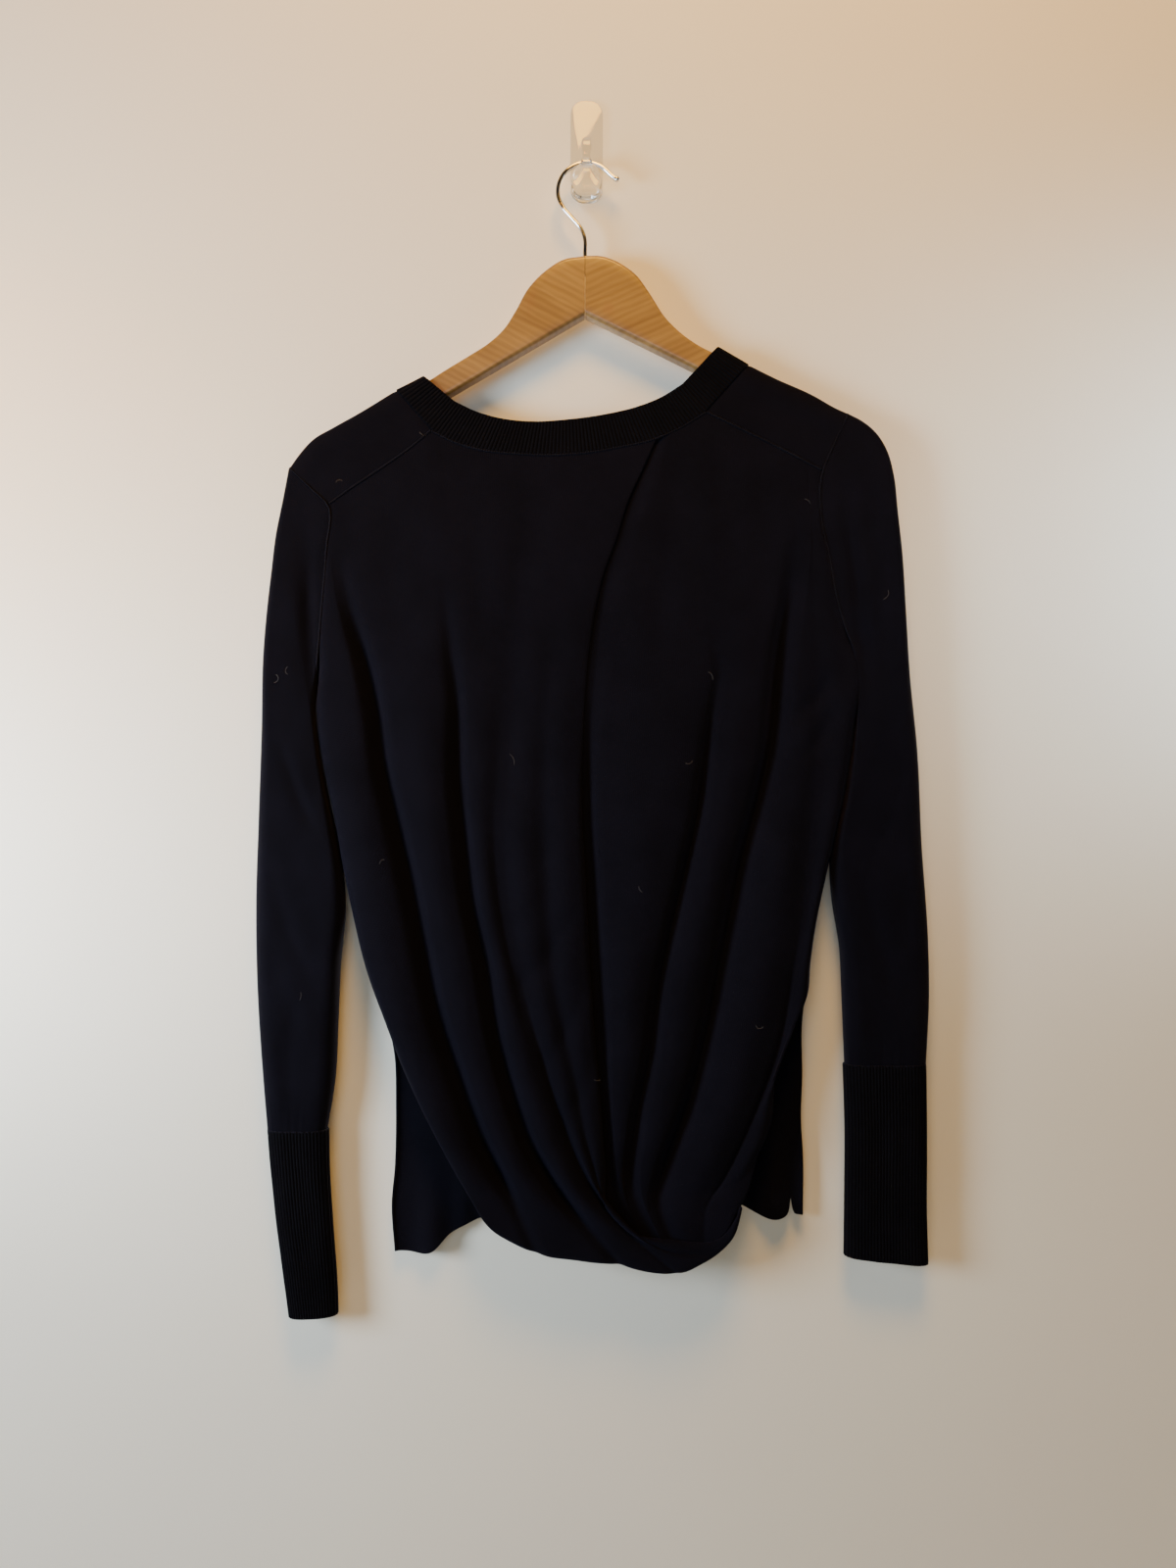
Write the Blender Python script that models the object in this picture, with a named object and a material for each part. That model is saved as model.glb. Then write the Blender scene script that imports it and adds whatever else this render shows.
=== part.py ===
"""Crew neck sweater with a crossover back, hung flat on a wooden hanger and a clear wall hook.

Metres, +Z up. The origin is the centre of the wall hook's back face, in the wall plane y = 0.
The sweater hangs on the -Y side with its back towards -Y. Left and right are those of someone
who faces the wall. Every table is in millimetres, and a route is a row of (x, z) places.
"""

import math

import bmesh
import bpy
import numpy as np

MM = 0.001

# Depths, measured from the wall.
PLANE = -15.0  # wire, middle of the hanger and side seams
HUG = 8.1  # from that plane to the middle of a cloth wall beside the hanger
NEAR = PLANE - HUG
FAR = PLANE + HUG

# Walls and seams.
CLOTH = 1.4
RIB_WALL = 1.5
RIB_RISE = 0.45
SEAM = 0.5
SLEEVE_SEAM = 1.0
ARM_COVER = 2.0  # cloth ridge above the top of the hanger's arm

# Cloth over an arm: how far below the ridge, and how far from the plane.
OVER_ARM = ((5.0, HUG), (1.5, 6.9), (0.3, 4.0), (0.0, 0.0))

# Neck.
COLLAR_HEIGHT = 25.0
RIB_PITCH = 2.35
FRONT_NECK_COLUMNS = 12

# Shoulder ridges, from the neck to the armhole.
RIDGE_LEFT = ((-142.7, -189.0), (-171.5, -206.6), (-190.0, -216.9), (-203.9, -225.0),
              (-214.2, -236.0), (-221.6, -246.3))
RIDGE_RIGHT = ((121.6, -170.1), (140.7, -179.6), (168.6, -192.1), (187.0, -202.4), (195.0, -206.0))

# Seams on the side that shows: yoke seams from the neck outwards, and the neck seam.
YOKE_LEFT = ((-115.6, -219.5), (-133.5, -234.0), (-152.1, -247.0), (-175.4, -262.5), (-191.9, -274.2))
YOKE_RIGHT = ((89.4, -205.6), (118.0, -219.6), (147.0, -234.0), (175.2, -248.8))
NECK_NEAR = ((-115.6, -219.5), (-101.8, -226.6), (-79.9, -233.6), (-51.4, -236.8), (-29.5, -237.7),
             (-5.5, -236.6), (23.0, -232.2), (52.2, -225.3), (68.9, -218.0), (89.4, -205.6))
COLLAR_TOP_NEAR = ((-98.1, -197.9), (-83.5, -204.9), (-64.6, -210.4), (-40.5, -212.9),
                   (-14.2, -211.4), (15.0, -207.3), (37.6, -201.9), (55.8, -194.7), (71.1, -185.2))
COLLAR_RIDGE_LEFT = (-121.5, -178.5)
COLLAR_RIDGE_RIGHT = (98.0, -156.5)

# Armholes, from the ridge to the underarm.
ARMHOLE_LEFT = ((-221.6, -246.3), (-203.6, -263.4), (-191.9, -274.2), (-192.6, -307.0),
                (-196.0, -351.0), (-200.0, -402.0))
ARMHOLE_RIGHT = ((195.0, -206.0), (182.0, -233.0), (175.2, -248.8), (173.9, -283.2),
                 (179.5, -310.0), (185.4, -342.4), (194.9, -371.7), (206.0, -392.0))

# Side seams, from the underarm to where the drape leaves the side.
SIDE_LEFT = ((-200.0, -402.0), (-202.0, -424.0), (-197.0, -467.3), (-189.5, -502.7),
             (-181.0, -549.2), (-175.5, -575.0), (-164.5, -620.0), (-148.5, -662.7))
SIDE_RIGHT = ((206.0, -392.0), (200.0, -438.6), (190.5, -497.5), (180.2, -544.0), (171.5, -583.8),
              (167.0, -613.3), (164.0, -639.1), (162.0, -672.3))

# Front panel below the side seams, and its hem from left to right.
FRONT_LEFT = ((-148.5, -662.7), (-144.8, -685.0), (-143.5, -727.1), (-144.4, -773.1),
              (-146.7, -800.0), (-144.4, -836.2))
FRONT_RIGHT = ((162.0, -672.3), (162.5, -701.8), (161.5, -736.0), (163.0, -763.5), (163.0, -808.7))
HEM = ((-144.4, -836.2), (-117.0, -835.5), (-103.7, -823.5), (-80.6, -813.2), (-30.0, -806.0),
       (40.0, -803.0), (118.4, -802.8), (126.0, -807.5), (142.2, -811.0), (151.5, -808.7),
       (154.6, -797.0), (158.5, -808.7), (163.0, -808.7))

FRONT_LEAN = 1.2  # how much further forward the hem hangs than the neck
SIDE_ROUND = 9.0  # width over which a panel curves to its side seam
SEAM_LIFT = 0.3  # of the front panel's sides behind the wraps'
HEM_LIFT = 4.0  # of its free sides, below the side seams
FREE_SHARE = 0.30  # share of its height below which the sides are free
ARMHOLE_SHARE = 0.76  # share of its height above which the sides are armholes

# Flutes of the front panel's hem: centre x, apex z, half-width at the hem, how far they stand out.
FLUTES = ((-117.0, -757.0, 17.0, 7.0), (-82.0, -745.0, 12.0, -5.0), (143.0, -742.0, 13.0, 7.0),
          (125.0, -720.0, 10.0, -4.0))
FLUTE_RUN = 70.0  # height over which a flute grows to its full depth

# Guides of the over wrap, from the left side to its free edge. Columns: half-width of a trough,
# set-back at the top and further down, share of the length where the set-back is full, route.
OVER_GUIDES = (
    (0.0, 0.0, 0.0, 0.2, ARMHOLE_LEFT[2:] + SIDE_LEFT[1:]
     + ((-131.5, -703.0), (-115.0, -735.0), (-98.0, -764.5), (-78.3, -796.0))),
    (6.5, 0.0, 9.0, 0.2,
     ((-182.9, -268.0), (-182.0, -320.6), (-174.2, -358.9), (-164.8, -392.3), (-156.8, -430.7),
      (-151.7, -467.6), (-143.0, -504.5), (-131.4, -553.8), (-122.8, -596.5), (-112.6, -645.0),
      (-96.0, -696.5), (-75.7, -748.6), (-58.3, -779.8), (-36.1, -825.6))),
    (5.0, 0.0, 8.0, 0.3,
     ((-115.6, -219.5), (-107.0, -309.4), (-102.2, -373.0), (-97.2, -419.2), (-95.7, -482.1),
      (-91.4, -524.7), (-85.6, -570.2), (-75.5, -616.5), (-66.8, -667.8), (-55.3, -710.4),
      (-41.5, -748.0), (-24.2, -776.2), (-1.1, -805.1), (24.7, -834.2))),
    (4.0, 0.0, 3.5, 0.75,
     ((-49.4, -237.0), (-58.0, -410.7), (-62.0, -559.2), (-49.4, -624.8), (-32.8, -684.6),
      (-18.4, -730.0), (1.1, -774.7), (33.0, -812.0), (66.0, -840.0))),
    (0.0, 0.0, 0.0, 0.75,
     ((0.0, -236.0), (-28.0, -400.0), (-30.0, -560.0), (-22.0, -640.0), (-9.0, -700.0),
      (4.0, -760.0), (20.0, -800.0), (60.0, -824.0), (97.7, -824.2))),
    (0.0, 0.0, 0.0, 0.2,
     ((52.2, -225.3), (42.1, -247.7), (31.3, -271.4), (22.0, -300.9), (13.3, -324.6),
      (6.9, -350.5), (2.5, -377.8), (-0.3, -408.7), (-3.2, -461.9), (-3.9, -496.5),
      (-1.1, -553.3), (1.8, -610.1), (5.4, -666.9), (10.4, -723.7), (13.3, -763.3),
      (17.5, -800.0), (32.7, -811.5), (60.8, -816.0), (98.2, -814.0), (113.5, -792.7))),
)
OVER_BOTTOM = ((-78.3, -796.0), (-69.0, -807.7), (-53.3, -817.7), (-36.1, -825.6), (-3.2, -830.6),
               (24.7, -834.2), (42.6, -838.0), (61.2, -840.0), (70.5, -839.2), (82.7, -833.5),
               (97.7, -824.2), (107.0, -813.4), (113.5, -792.7))
OVER_DEPTH = ((0.0, NEAR), (0.12, -26.0), (0.5, -30.5), (0.8, -35.0), (0.92, -41.0), (1.0, -43.0))
OVER_SIDE_DEPTH = ((0.0, NEAR), (0.19, NEAR), (0.24, -15.3), (0.70, -15.3), (0.76, -22.0), (1.0, -34.0))
LOOP_RADIUS = 5.5  # of the cloth where it turns back up along the bottom

# Guides of the under wrap, from its hidden edge to the right side. Columns as above.
UNDER_GUIDES = (
    (0.0, 2.4, 8.0, 0.15,
     ((14.0, -234.0), (-12.0, -400.0), (-22.0, -560.0), (-14.0, -700.0), (6.0, -780.0), (22.0, -811.0))),
    (0.0, 2.4, 8.5, 0.15,
     ((53.2, -225.0), (28.0, -300.0), (13.0, -350.0), (7.0, -400.0), (2.0, -462.0), (1.0, -500.0),
      (4.0, -560.0), (7.0, -620.0), (11.0, -680.0), (15.0, -740.0), (20.0, -790.0), (34.0, -819.0))),
    (0.0, 0.0, -1.0, 0.2,
     ((62.0, -221.5), (40.0, -290.0), (26.0, -350.0), (19.0, -405.0), (10.0, -467.0), (10.0, -525.0),
      (13.0, -571.0), (16.0, -611.0), (18.0, -668.0), (20.5, -739.0), (27.0, -790.0), (42.0, -822.0))),
    (5.0, 0.0, 7.0, 0.3,
     ((89.4, -205.6), (96.0, -382.0), (98.2, -401.7), (94.5, -421.2), (90.2, -452.4), (84.4, -496.6),
      (73.5, -548.0), (61.9, -596.5), (53.2, -639.2), (47.5, -682.7), (37.0, -735.0), (34.0, -785.0),
      (52.0, -824.0))),
    (11.0, 0.0, 9.0, 0.12,
     ((152.0, -236.8), (157.0, -297.0), (155.0, -315.0), (151.0, -344.0), (146.5, -373.0),
      (142.5, -412.0), (138.0, -453.1), (127.9, -496.6), (116.3, -539.3), (107.6, -582.0),
      (98.9, -625.5), (90.2, -668.2), (76.0, -722.0), (60.0, -765.0), (54.0, -790.0), (66.0, -822.5))),
    (3.5, 0.0, 2.5, 0.75,
     ((167.0, -244.9), (172.0, -330.0), (176.0, -420.0), (168.0, -520.0), (155.0, -610.0),
      (140.9, -681.8), (121.5, -732.9), (101.3, -775.5), (88.0, -797.0), (84.0, -819.0))),
    (0.0, 0.0, 0.0, 0.2, ARMHOLE_RIGHT[2:] + SIDE_RIGHT[1:7]
     + ((154.5, -657.5), (141.0, -690.9), (135.0, -737.5), (126.3, -757.9), (119.7, -780.0),
        (111.5, -793.0), (103.0, -802.0))),
)
UNDER_BOTTOM = ((22.0, -811.0), (34.0, -818.0), (52.0, -822.0), (70.0, -822.5), (84.0, -819.0),
                (96.0, -811.0), (103.0, -802.0))
UNDER_DEPTH = ((0.0, NEAR), (0.12, -25.5), (0.5, -29.0), (0.8, -30.5), (0.93, -30.0), (0.97, -33.5),
               (1.0, -36.5))
UNDER_SIDE_DEPTH = ((0.0, NEAR), (0.20, NEAR), (0.26, -15.3), (0.64, -15.3), (0.72, -22.0), (1.0, -34.0))
LOBE = 3.0  # how far the cloth stands out between two troughs
LOBE_SHARE = 1 / 9  # the most that a lobe stands out, as a share of its width
SETTLED = (0.88, 0.08)  # share of the length where folds start to flatten, and over how much
FLATTENED = 0.75  # how much of their depth they lose there
FREE_EDGE_TURN = 2.0  # how far the over wrap's free edge turns in
FREE_EDGE_ROUND = 7.0  # width over which it does
TOP_FADE = 6  # power with which a seam's exact line fades into the guides below it
BOTTOM_FADE = 8

# Sleeves, from the shoulder to the cuff, as the outer and the inner line.
SLEEVE_LEFT_OUTER = ((-221.6, -246.3), (-226.2, -271.0), (-231.3, -296.7), (-234.3, -321.7),
                     (-238.0, -355.6), (-240.2, -384.2), (-241.5, -442.3), (-243.8, -507.8),
                     (-245.8, -579.9), (-244.6, -638.7), (-240.9, -698.3), (-237.5, -741.0))
SLEEVE_LEFT_INNER = ((-203.5, -404.5), (-206.5, -430.0), (-202.0, -467.4), (-195.0, -502.7),
                     (-186.5, -549.0), (-181.5, -575.0), (-184.0, -615.9), (-185.7, -655.7),
                     (-188.2, -704.9), (-194.0, -741.0))
SLEEVE_RIGHT_OUTER = ((195.0, -206.0), (203.4, -210.2), (215.2, -219.7), (223.2, -232.2),
                      (228.4, -250.6), (231.3, -277.6), (234.3, -306.3), (237.2, -352.6),
                      (240.2, -399.7), (246.0, -458.5), (249.0, -524.0), (254.1, -599.8),
                      (254.9, -638.7), (252.7, -692.0))
SLEEVE_RIGHT_INNER = ((209.5, -395.0), (205.5, -438.7), (196.0, -497.5), (185.8, -543.9),
                      (186.0, -566.7), (190.1, -606.4), (190.9, -638.7), (193.0, -692.0))
# Share of the length; depth of the plane, half the depth, roundness of the outer and inner edge.
SLEEVE_SECTIONS = ((0.0, -15.0, 8.1, 3.5, 14.0), (0.06, -15.0, 8.8, 4.0, 13.0),
                   (0.15, -15.5, 10.5, 9.0, 12.0),
                   (0.4, -17.0, 11.5, 14.0, 12.0), (0.75, -17.5, 10.5, 14.0, 13.0),
                   (0.94, -17.5, 10.0, 14.0, 14.0), (1.0, -17.5, 8.6, 14.0, 14.0))
# Creases that run down the sleeves: side, x and z at the top and at the foot, width, depth.
SLEEVE_CREASES = ((-1, -210.0, -290.0, -204.0, -415.0, 6.0, 1.0),
                  (1, 214.0, -262.0, 222.0, -410.0, 6.0, 2.0),
                  (1, 205.0, -560.0, 226.0, -640.0, 6.0, 1.0))

# Cuffs: outer and inner line, from the sleeve to the wrist.
CUFF_LEFT = (((-237.5, -741.0), (-235.0, -770.4), (-230.6, -813.1), (-226.2, -846.2), (-221.5, -882.0)),
             ((-194.0, -741.0), (-193.5, -770.4), (-190.9, -813.1), (-187.5, -862.3), (-187.0, -880.0)))
CUFF_RIGHT = (((252.7, -692.0), (253.4, -737.3), (253.4, -803.5), (254.5, -842.5)),
              ((193.0, -692.0), (194.5, -740.0), (194.2, -790.0), (193.6, -836.0)))
CUFF_DEPTH = -17.5
CUFF_HALF_DEPTH = (8.6, 7.0)
CUFF_ROUNDNESS = 14.0

# Hanger: two wooden halves that meet at a glued seam.
WOOD_THICKNESS = 14.0
WOOD_EDGE = 3.2
HANGER_SEAM_X = -1.1
HANGER_NOTCH_Z = -131.8
WOOD_TOP_LEFT = ((-1.1, -87.6), (-17.9, -90.6), (-29.6, -97.8), (-43.5, -111.8), (-53.0, -128.9),
                 (-61.1, -141.6), (-72.8, -152.7), (-86.6, -161.6), (-105.7, -173.2), (-121.5, -183.0))
WOOD_TOP_RIGHT = ((-1.1, -87.6), (11.3, -87.8), (23.0, -92.0), (36.9, -101.6), (47.2, -115.5),
                  (58.9, -133.7), (70.6, -145.4), (83.7, -154.6), (98.0, -161.8))
# Under the cloth each arm follows the shoulder ridge; then come the places of its end.
WOOD_RIDGE_LEFT = RIDGE_LEFT[:4]
WOOD_RIDGE_RIGHT = RIDGE_RIGHT + ((205.0, -212.6),)
WOOD_END_LEFT = ((-213.5, -239.0), (-212.0, -249.0), (-204.0, -250.5))
WOOD_END_RIGHT = ((213.0, -224.0), (214.0, -232.5), (206.0, -234.0))

# Hook of the hanger: a shank in the seam, a bend, an arc of a circle and a bead.
WIRE_RADIUS = 1.65
WIRE_CENTRE = (0.0, -37.2)
WIRE_BEND_RADIUS = 21.7
WIRE_SHANK = ((-1.1, -101.0), (-1.1, -84.0), (-1.6, -71.5), (-4.4, -64.8), (-10.6, -57.4), (-17.8, -48.9))
WIRE_ARC = (188.0, 48.0)  # degrees from +X where the arc starts and ends
WIRE_TAIL = ((20.6, -26.6), (24.7, -29.0))
BEAD_RADIUS = 2.3
BORE_DEPTH_Z = -101.5
FIT = 0.3

# Wall hook: a plate, and a tongue cut from a side profile and a front outline.
PLATE_WIDTH = 24.8
PLATE_HEIGHT = 77.0
PLATE_THICKNESS = 3.5
PLATE_CORNER = 10.5
TONGUE_PROFILE = ((-1.5, -37.5), (-4.5, -37.0), (-10.0, -34.5), (-15.5, -30.0), (-20.0, -24.0),
                  (-22.8, -17.0), (-23.8, -9.0), (-23.2, -3.0), (-21.6, 0.0), (-20.2, -2.0),
                  (-19.3, -8.0), (-18.8, -14.0), (-17.2, -17.5), (-15.0, -17.8), (-11.0, -17.3),
                  (-7.0, -15.0), (-4.2, -11.0), (-3.0, -7.0), (-1.5, -7.0))
TONGUE_HALF_OUTLINE = ((0.0, 1.0), (2.4, 0.2), (3.4, -3.0), (3.4, -16.5), (5.0, -19.3), (7.0, -20.9),
                       (9.5, -23.4), (11.2, -26.5), (11.6, -31.0), (10.6, -35.0), (7.5, -38.2), (0.0, -39.0))

# Colour, roughness and metallic value of each finish.
KNIT_BLACK = ((0.012, 0.011, 0.016), 0.92, 0.0)
RIB_BLACK = ((0.010, 0.009, 0.014), 0.94, 0.0)
HONEY_WOOD = ((0.45, 0.24, 0.09), 0.42, 0.0)
BRIGHT_WIRE = ((0.72, 0.70, 0.68), 0.18, 1.0)
CLEAR_PLASTIC = ((0.86, 0.85, 0.82), 0.12, 0.0)


# ---------------------------------------------------------------- curves and grids


def along(route, fractions):
    """Points at the given shares of a smooth curve through the route."""
    route = np.asarray(route, float)
    steps = np.linalg.norm(np.diff(route, axis=0), axis=1)
    at = np.concatenate([[0.0], np.cumsum(steps)]) / steps.sum()
    slopes = np.gradient(route, at, axis=0)
    f = np.asarray(fractions, float)
    i = np.clip(np.searchsorted(at, f, side="right") - 1, 0, len(at) - 2)
    span = (at[i + 1] - at[i])[:, None]
    t = (f - at[i])[:, None] / span
    start = (2 * t**3 - 3 * t**2 + 1) * route[i] + (t**3 - 2 * t**2 + t) * span * slopes[i]
    end = (3 * t**2 - 2 * t**3) * route[i + 1] + (t**3 - t**2) * span * slopes[i + 1]
    return start + end


def column(table, at, index=1):
    """One column of a table, read at the given values of its first column."""
    table = np.asarray(table, float)
    return np.interp(at, table[:, 0], table[:, index])


def rounding(distance, radius):
    """Height of a quarter round, from 0 at its edge to 1 at the radius."""
    return np.sqrt(1.0 - (1.0 - np.clip(distance / radius, 0.0, 1.0)) ** 2)


def ease(t):
    """Soft step from 0 to 1."""
    t = np.clip(t, 0.0, 1.0)
    return t * t * (3.0 - 2.0 * t)


def joined(*routes):
    """A fine line along smooth routes that meet at corners."""
    lines = [along(route, np.linspace(0.0, 1.0, 81)) for route in routes]
    return np.concatenate([lines[0], *(line[1:] for line in lines[1:])])


def on_line(line, fractions):
    """Places at the given shares of a line's length."""
    steps = np.linalg.norm(np.diff(line, axis=0), axis=1)
    at = np.concatenate([[0.0], np.cumsum(steps)]) / steps.sum()
    return np.stack([np.interp(fractions, at, line[:, axis]) for axis in range(line.shape[1])], axis=-1)


def nearest_fractions(line, places):
    """Share of the line's length at which it passes nearest to each place."""
    shares = np.linspace(0.0, 1.0, 801)
    dense = on_line(line, shares)
    return [shares[np.argmin(np.linalg.norm(dense - place, axis=1))] for place in places]


def with_depth(places, depth):
    """(x, depth, z) from (x, z) places."""
    return np.stack([places[..., 0], np.broadcast_to(depth, places.shape[:-1]), places[..., 1]], axis=-1)


# ---------------------------------------------------------------- meshes


def finish(name, look):
    """A Principled material."""
    colour, roughness, metallic = look
    material = bpy.data.materials.new(name)
    material.use_nodes = True
    shader = material.node_tree.nodes["Principled BSDF"]
    shader.inputs["Base Color"].default_value = (*colour, 1.0)
    shader.inputs["Roughness"].default_value = roughness
    shader.inputs["Metallic"].default_value = metallic
    return material


def add_object(name, mesh, material):
    """Links a mesh as an object with one material."""
    mesh.materials.append(material)
    obj = bpy.data.objects.new(name, mesh)
    bpy.context.scene.collection.objects.link(obj)
    return obj


def shade(obj, degrees):
    """Shades smooth, but for edges sharper than the angle."""
    obj.data.shade_smooth()
    obj.data.set_sharp_from_angle(angle=math.radians(degrees))


def mesh_of(name, points, faces):
    """A mesh from points in millimetres, without the points that no face uses."""
    used = np.unique(np.concatenate([np.ravel(face) for face in faces]))
    place = np.full(len(points), -1)
    place[used] = np.arange(len(used))
    mesh = bpy.data.meshes.new(name)
    mesh.from_pydata(points[used] * MM, [], [tuple(place[list(face)]) for face in faces])
    mesh.update()
    return mesh


def quads(rows, cols, closed=False, keep=None):
    """Faces of a grid of rows by columns, or of a tube whose columns close."""
    faces = []
    for i in range(rows - 1):
        for j in range(cols if closed else cols - 1):
            if keep is None or keep[i, j]:
                k = (j + 1) % cols
                faces.append((i * cols + j, i * cols + k, (i + 1) * cols + k, (i + 1) * cols + j))
    return faces


def add_wall(name, grid, material, thickness=CLOTH, closed=False, keep=None):
    """A cloth wall with the grid as its middle surface."""
    rows, cols = grid.shape[:2]
    mesh = mesh_of(name, grid.reshape(-1, 3), quads(rows, cols, closed, keep))
    obj = add_object(name, mesh, material)
    wall = obj.modifiers.new("wall", "SOLIDIFY")
    wall.thickness = thickness * MM
    wall.offset = 0.0
    shade(obj, 60.0)
    return obj


def outline_prism(name, outline, front, back, material):
    """An outline in x and z, extruded from the front depth to the back depth."""
    outline = np.asarray(outline, float)
    ends = [with_depth(outline, depth) for depth in (front, back)]
    points = np.concatenate(ends)
    n = len(outline)
    sides = [(i, (i + 1) % n, n + (i + 1) % n, n + i) for i in range(n)]
    mesh = mesh_of(name, points, [tuple(range(n))[::-1], tuple(range(n, 2 * n)), *sides])
    obj = add_object(name, mesh, material)
    face_out(obj)
    return obj


def face_out(obj):
    """Turns every face of a closed mesh outwards."""
    shape = bmesh.new()
    shape.from_mesh(obj.data)
    bmesh.ops.recalc_face_normals(shape, faces=shape.faces)
    shape.to_mesh(obj.data)
    shape.free()


def as_helper(obj):
    """Keeps a cutter or a guide out of the render."""
    obj.hide_render = True
    obj.display_type = "WIRE"
    return obj


def combine(obj, other, operation):
    """Adds an exact Boolean with another mesh."""
    modifier = obj.modifiers.new(operation.lower(), "BOOLEAN")
    modifier.operation = operation
    modifier.solver = "EXACT"
    modifier.object = other


# ---------------------------------------------------------------- panels


def spread_guides(guides):
    """Each trough guide as a lip, a bottom and a lip, with what each needs."""
    spread = []
    for half, top, full, start, route in guides:
        route = np.asarray(route, float)
        if half:
            spread.append((0.0, -1.0, start, route - (half, 0.0)))
        spread.append((top, full, start, route))
        if half:
            spread.append((0.0, -1.0, start, route + (half, 0.0)))
    return spread


def wrap_columns(guides, first, last):
    """Column places in guide units: close to the two outer edges, and one between wide guides."""
    count = len(spread_guides(guides))
    places = [*first]
    for k in range(1, count - 2):
        places.append(float(k))
        if not is_trough_side(guides, k):
            places += [k + 1 / 3, k + 2 / 3]
    places += [count - 2 + share for share in last]
    return np.array(places)


def is_trough_side(guides, k):
    """True if the stretch from guide k to the next one is a side of a trough."""
    kinds = []
    for half, *_ in guides:
        kinds += ["lip", "bottom", "lip"] if half else ["plain"]
    return "bottom" in kinds[k:k + 2]


def wrap_grid(guides, columns, rows, top_line, bottom_line, depth_table):
    """Middle surface of a wrap: guides joined across, with soft troughs and lobes between them."""
    spread = spread_guides(guides)
    routes = np.stack([along(route, rows) for *_, route in spread], axis=1)
    k = np.clip(columns.astype(int), 0, len(spread) - 2)
    t = columns - k
    grid = routes[:, k] * (1 - t)[:, None] + routes[:, k + 1] * t[:, None]
    knots = np.arange(len(spread))
    pulls = ((0, top_line, (1 - rows) ** TOP_FADE), (-1, bottom_line, rows**BOTTOM_FADE))
    for edge, line, weight in pulls:
        ends = np.stack([route[edge] for *_, route in spread])
        shares = np.maximum.accumulate(nearest_fractions(line, ends))
        target = on_line(line, np.interp(columns, knots, shares))
        straight = ends[k] * (1 - t)[:, None] + ends[k + 1] * t[:, None]
        grid = grid + weight[:, None, None] * (target - straight)
    settled = np.stack([top + (full - top) * ease(rows / start) for top, full, start, _ in spread], axis=1)
    soft = ease(t)
    set_back = settled[:, k] * (1 - soft) + settled[:, k + 1] * soft
    flatten = 1.0 - FLATTENED * ease((rows - SETTLED[0]) / SETTLED[1])[:, None]
    width = np.linalg.norm(routes[:, k + 1] - routes[:, k], axis=2)
    lobe = np.minimum(LOBE, width * LOBE_SHARE) * np.sin(np.pi * t) * ease(rows / 0.25)[:, None]
    depth = column(depth_table, rows)[:, None] + flatten * (set_back - lobe)
    return grid, depth


def round_edge(grid, depth, edge, edge_depth, radius):
    """Curves the columns near an edge back to the edge's own depth."""
    distance = np.linalg.norm(grid - grid[:, edge][:, None], axis=2)
    return depth + (edge_depth[:, None] - depth) * (1 - rounding(distance, radius))


def make_over_wrap(material):
    """The wrap that lies on top, with the loop of cloth along the bottom."""
    front_rows = np.concatenate([np.linspace(0, 0.8, 14), np.linspace(0.835, 0.975, 5),
                                 (0.99, 0.9965, 0.9992)])
    back_rows = np.array([0.9992, 0.9965, 0.99, 0.96])
    rows = np.concatenate([front_rows, [1.0], back_rows])
    turned = np.concatenate([np.zeros(len(front_rows)), [0.0], np.ones(len(back_rows))])
    columns = wrap_columns(OVER_GUIDES, (0, 0.02, 0.08, 0.22, 0.5), (0.0, 0.45, 0.8, 0.95, 1.0))
    top = joined(YOKE_LEFT[::-1], NECK_NEAR)
    grid, depth = wrap_grid(OVER_GUIDES, columns, rows, top, joined(OVER_BOTTOM), OVER_DEPTH)
    depth = round_edge(grid, depth, 0, column(OVER_SIDE_DEPTH, rows), SIDE_ROUND)
    free_edge = column(OVER_DEPTH, rows) + FREE_EDGE_TURN * ease(rows / 0.1)
    depth = round_edge(grid, depth, -1, free_edge, FREE_EDGE_ROUND)
    bottom = grid[len(front_rows)]
    distance = np.linalg.norm(grid - bottom, axis=2)
    curl = LOOP_RADIUS * (1 - rounding(distance, LOOP_RADIUS))
    back = column(OVER_DEPTH, rows)[:, None] + 2 * LOOP_RADIUS - curl
    near_bottom = (rows > 0.97)[:, None]
    depth = np.where(turned[:, None] > 0, back, np.where(near_bottom, depth + curl, depth))
    grid = grid + np.stack([np.zeros(len(rows)), -SEAM * (1 - rows) ** TOP_FADE], axis=1)[:, None]
    return add_wall("back_over_wrap", with_depth(grid, depth), material)


def make_under_wrap(material):
    """The wrap that comes from the right side and dives behind the loop."""
    rows = np.concatenate([np.linspace(0, 0.88, 16), (0.92, 0.955, 0.98, 1.0)])
    columns = wrap_columns(UNDER_GUIDES, (0, 0.5), (0.0, 0.5, 0.78, 0.92, 0.98, 1.0))
    top = joined(NECK_NEAR, YOKE_RIGHT)
    grid, depth = wrap_grid(UNDER_GUIDES, columns, rows, top, joined(UNDER_BOTTOM), UNDER_DEPTH)
    depth = round_edge(grid, depth, -1, column(UNDER_SIDE_DEPTH, rows), SIDE_ROUND)
    grid = grid + np.stack([np.zeros(len(rows)), -SEAM * (1 - rows) ** TOP_FADE], axis=1)[:, None]
    return add_wall("back_under_wrap", with_depth(grid, depth), material)


# ---------------------------------------------------------------- front panel and neck


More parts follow.
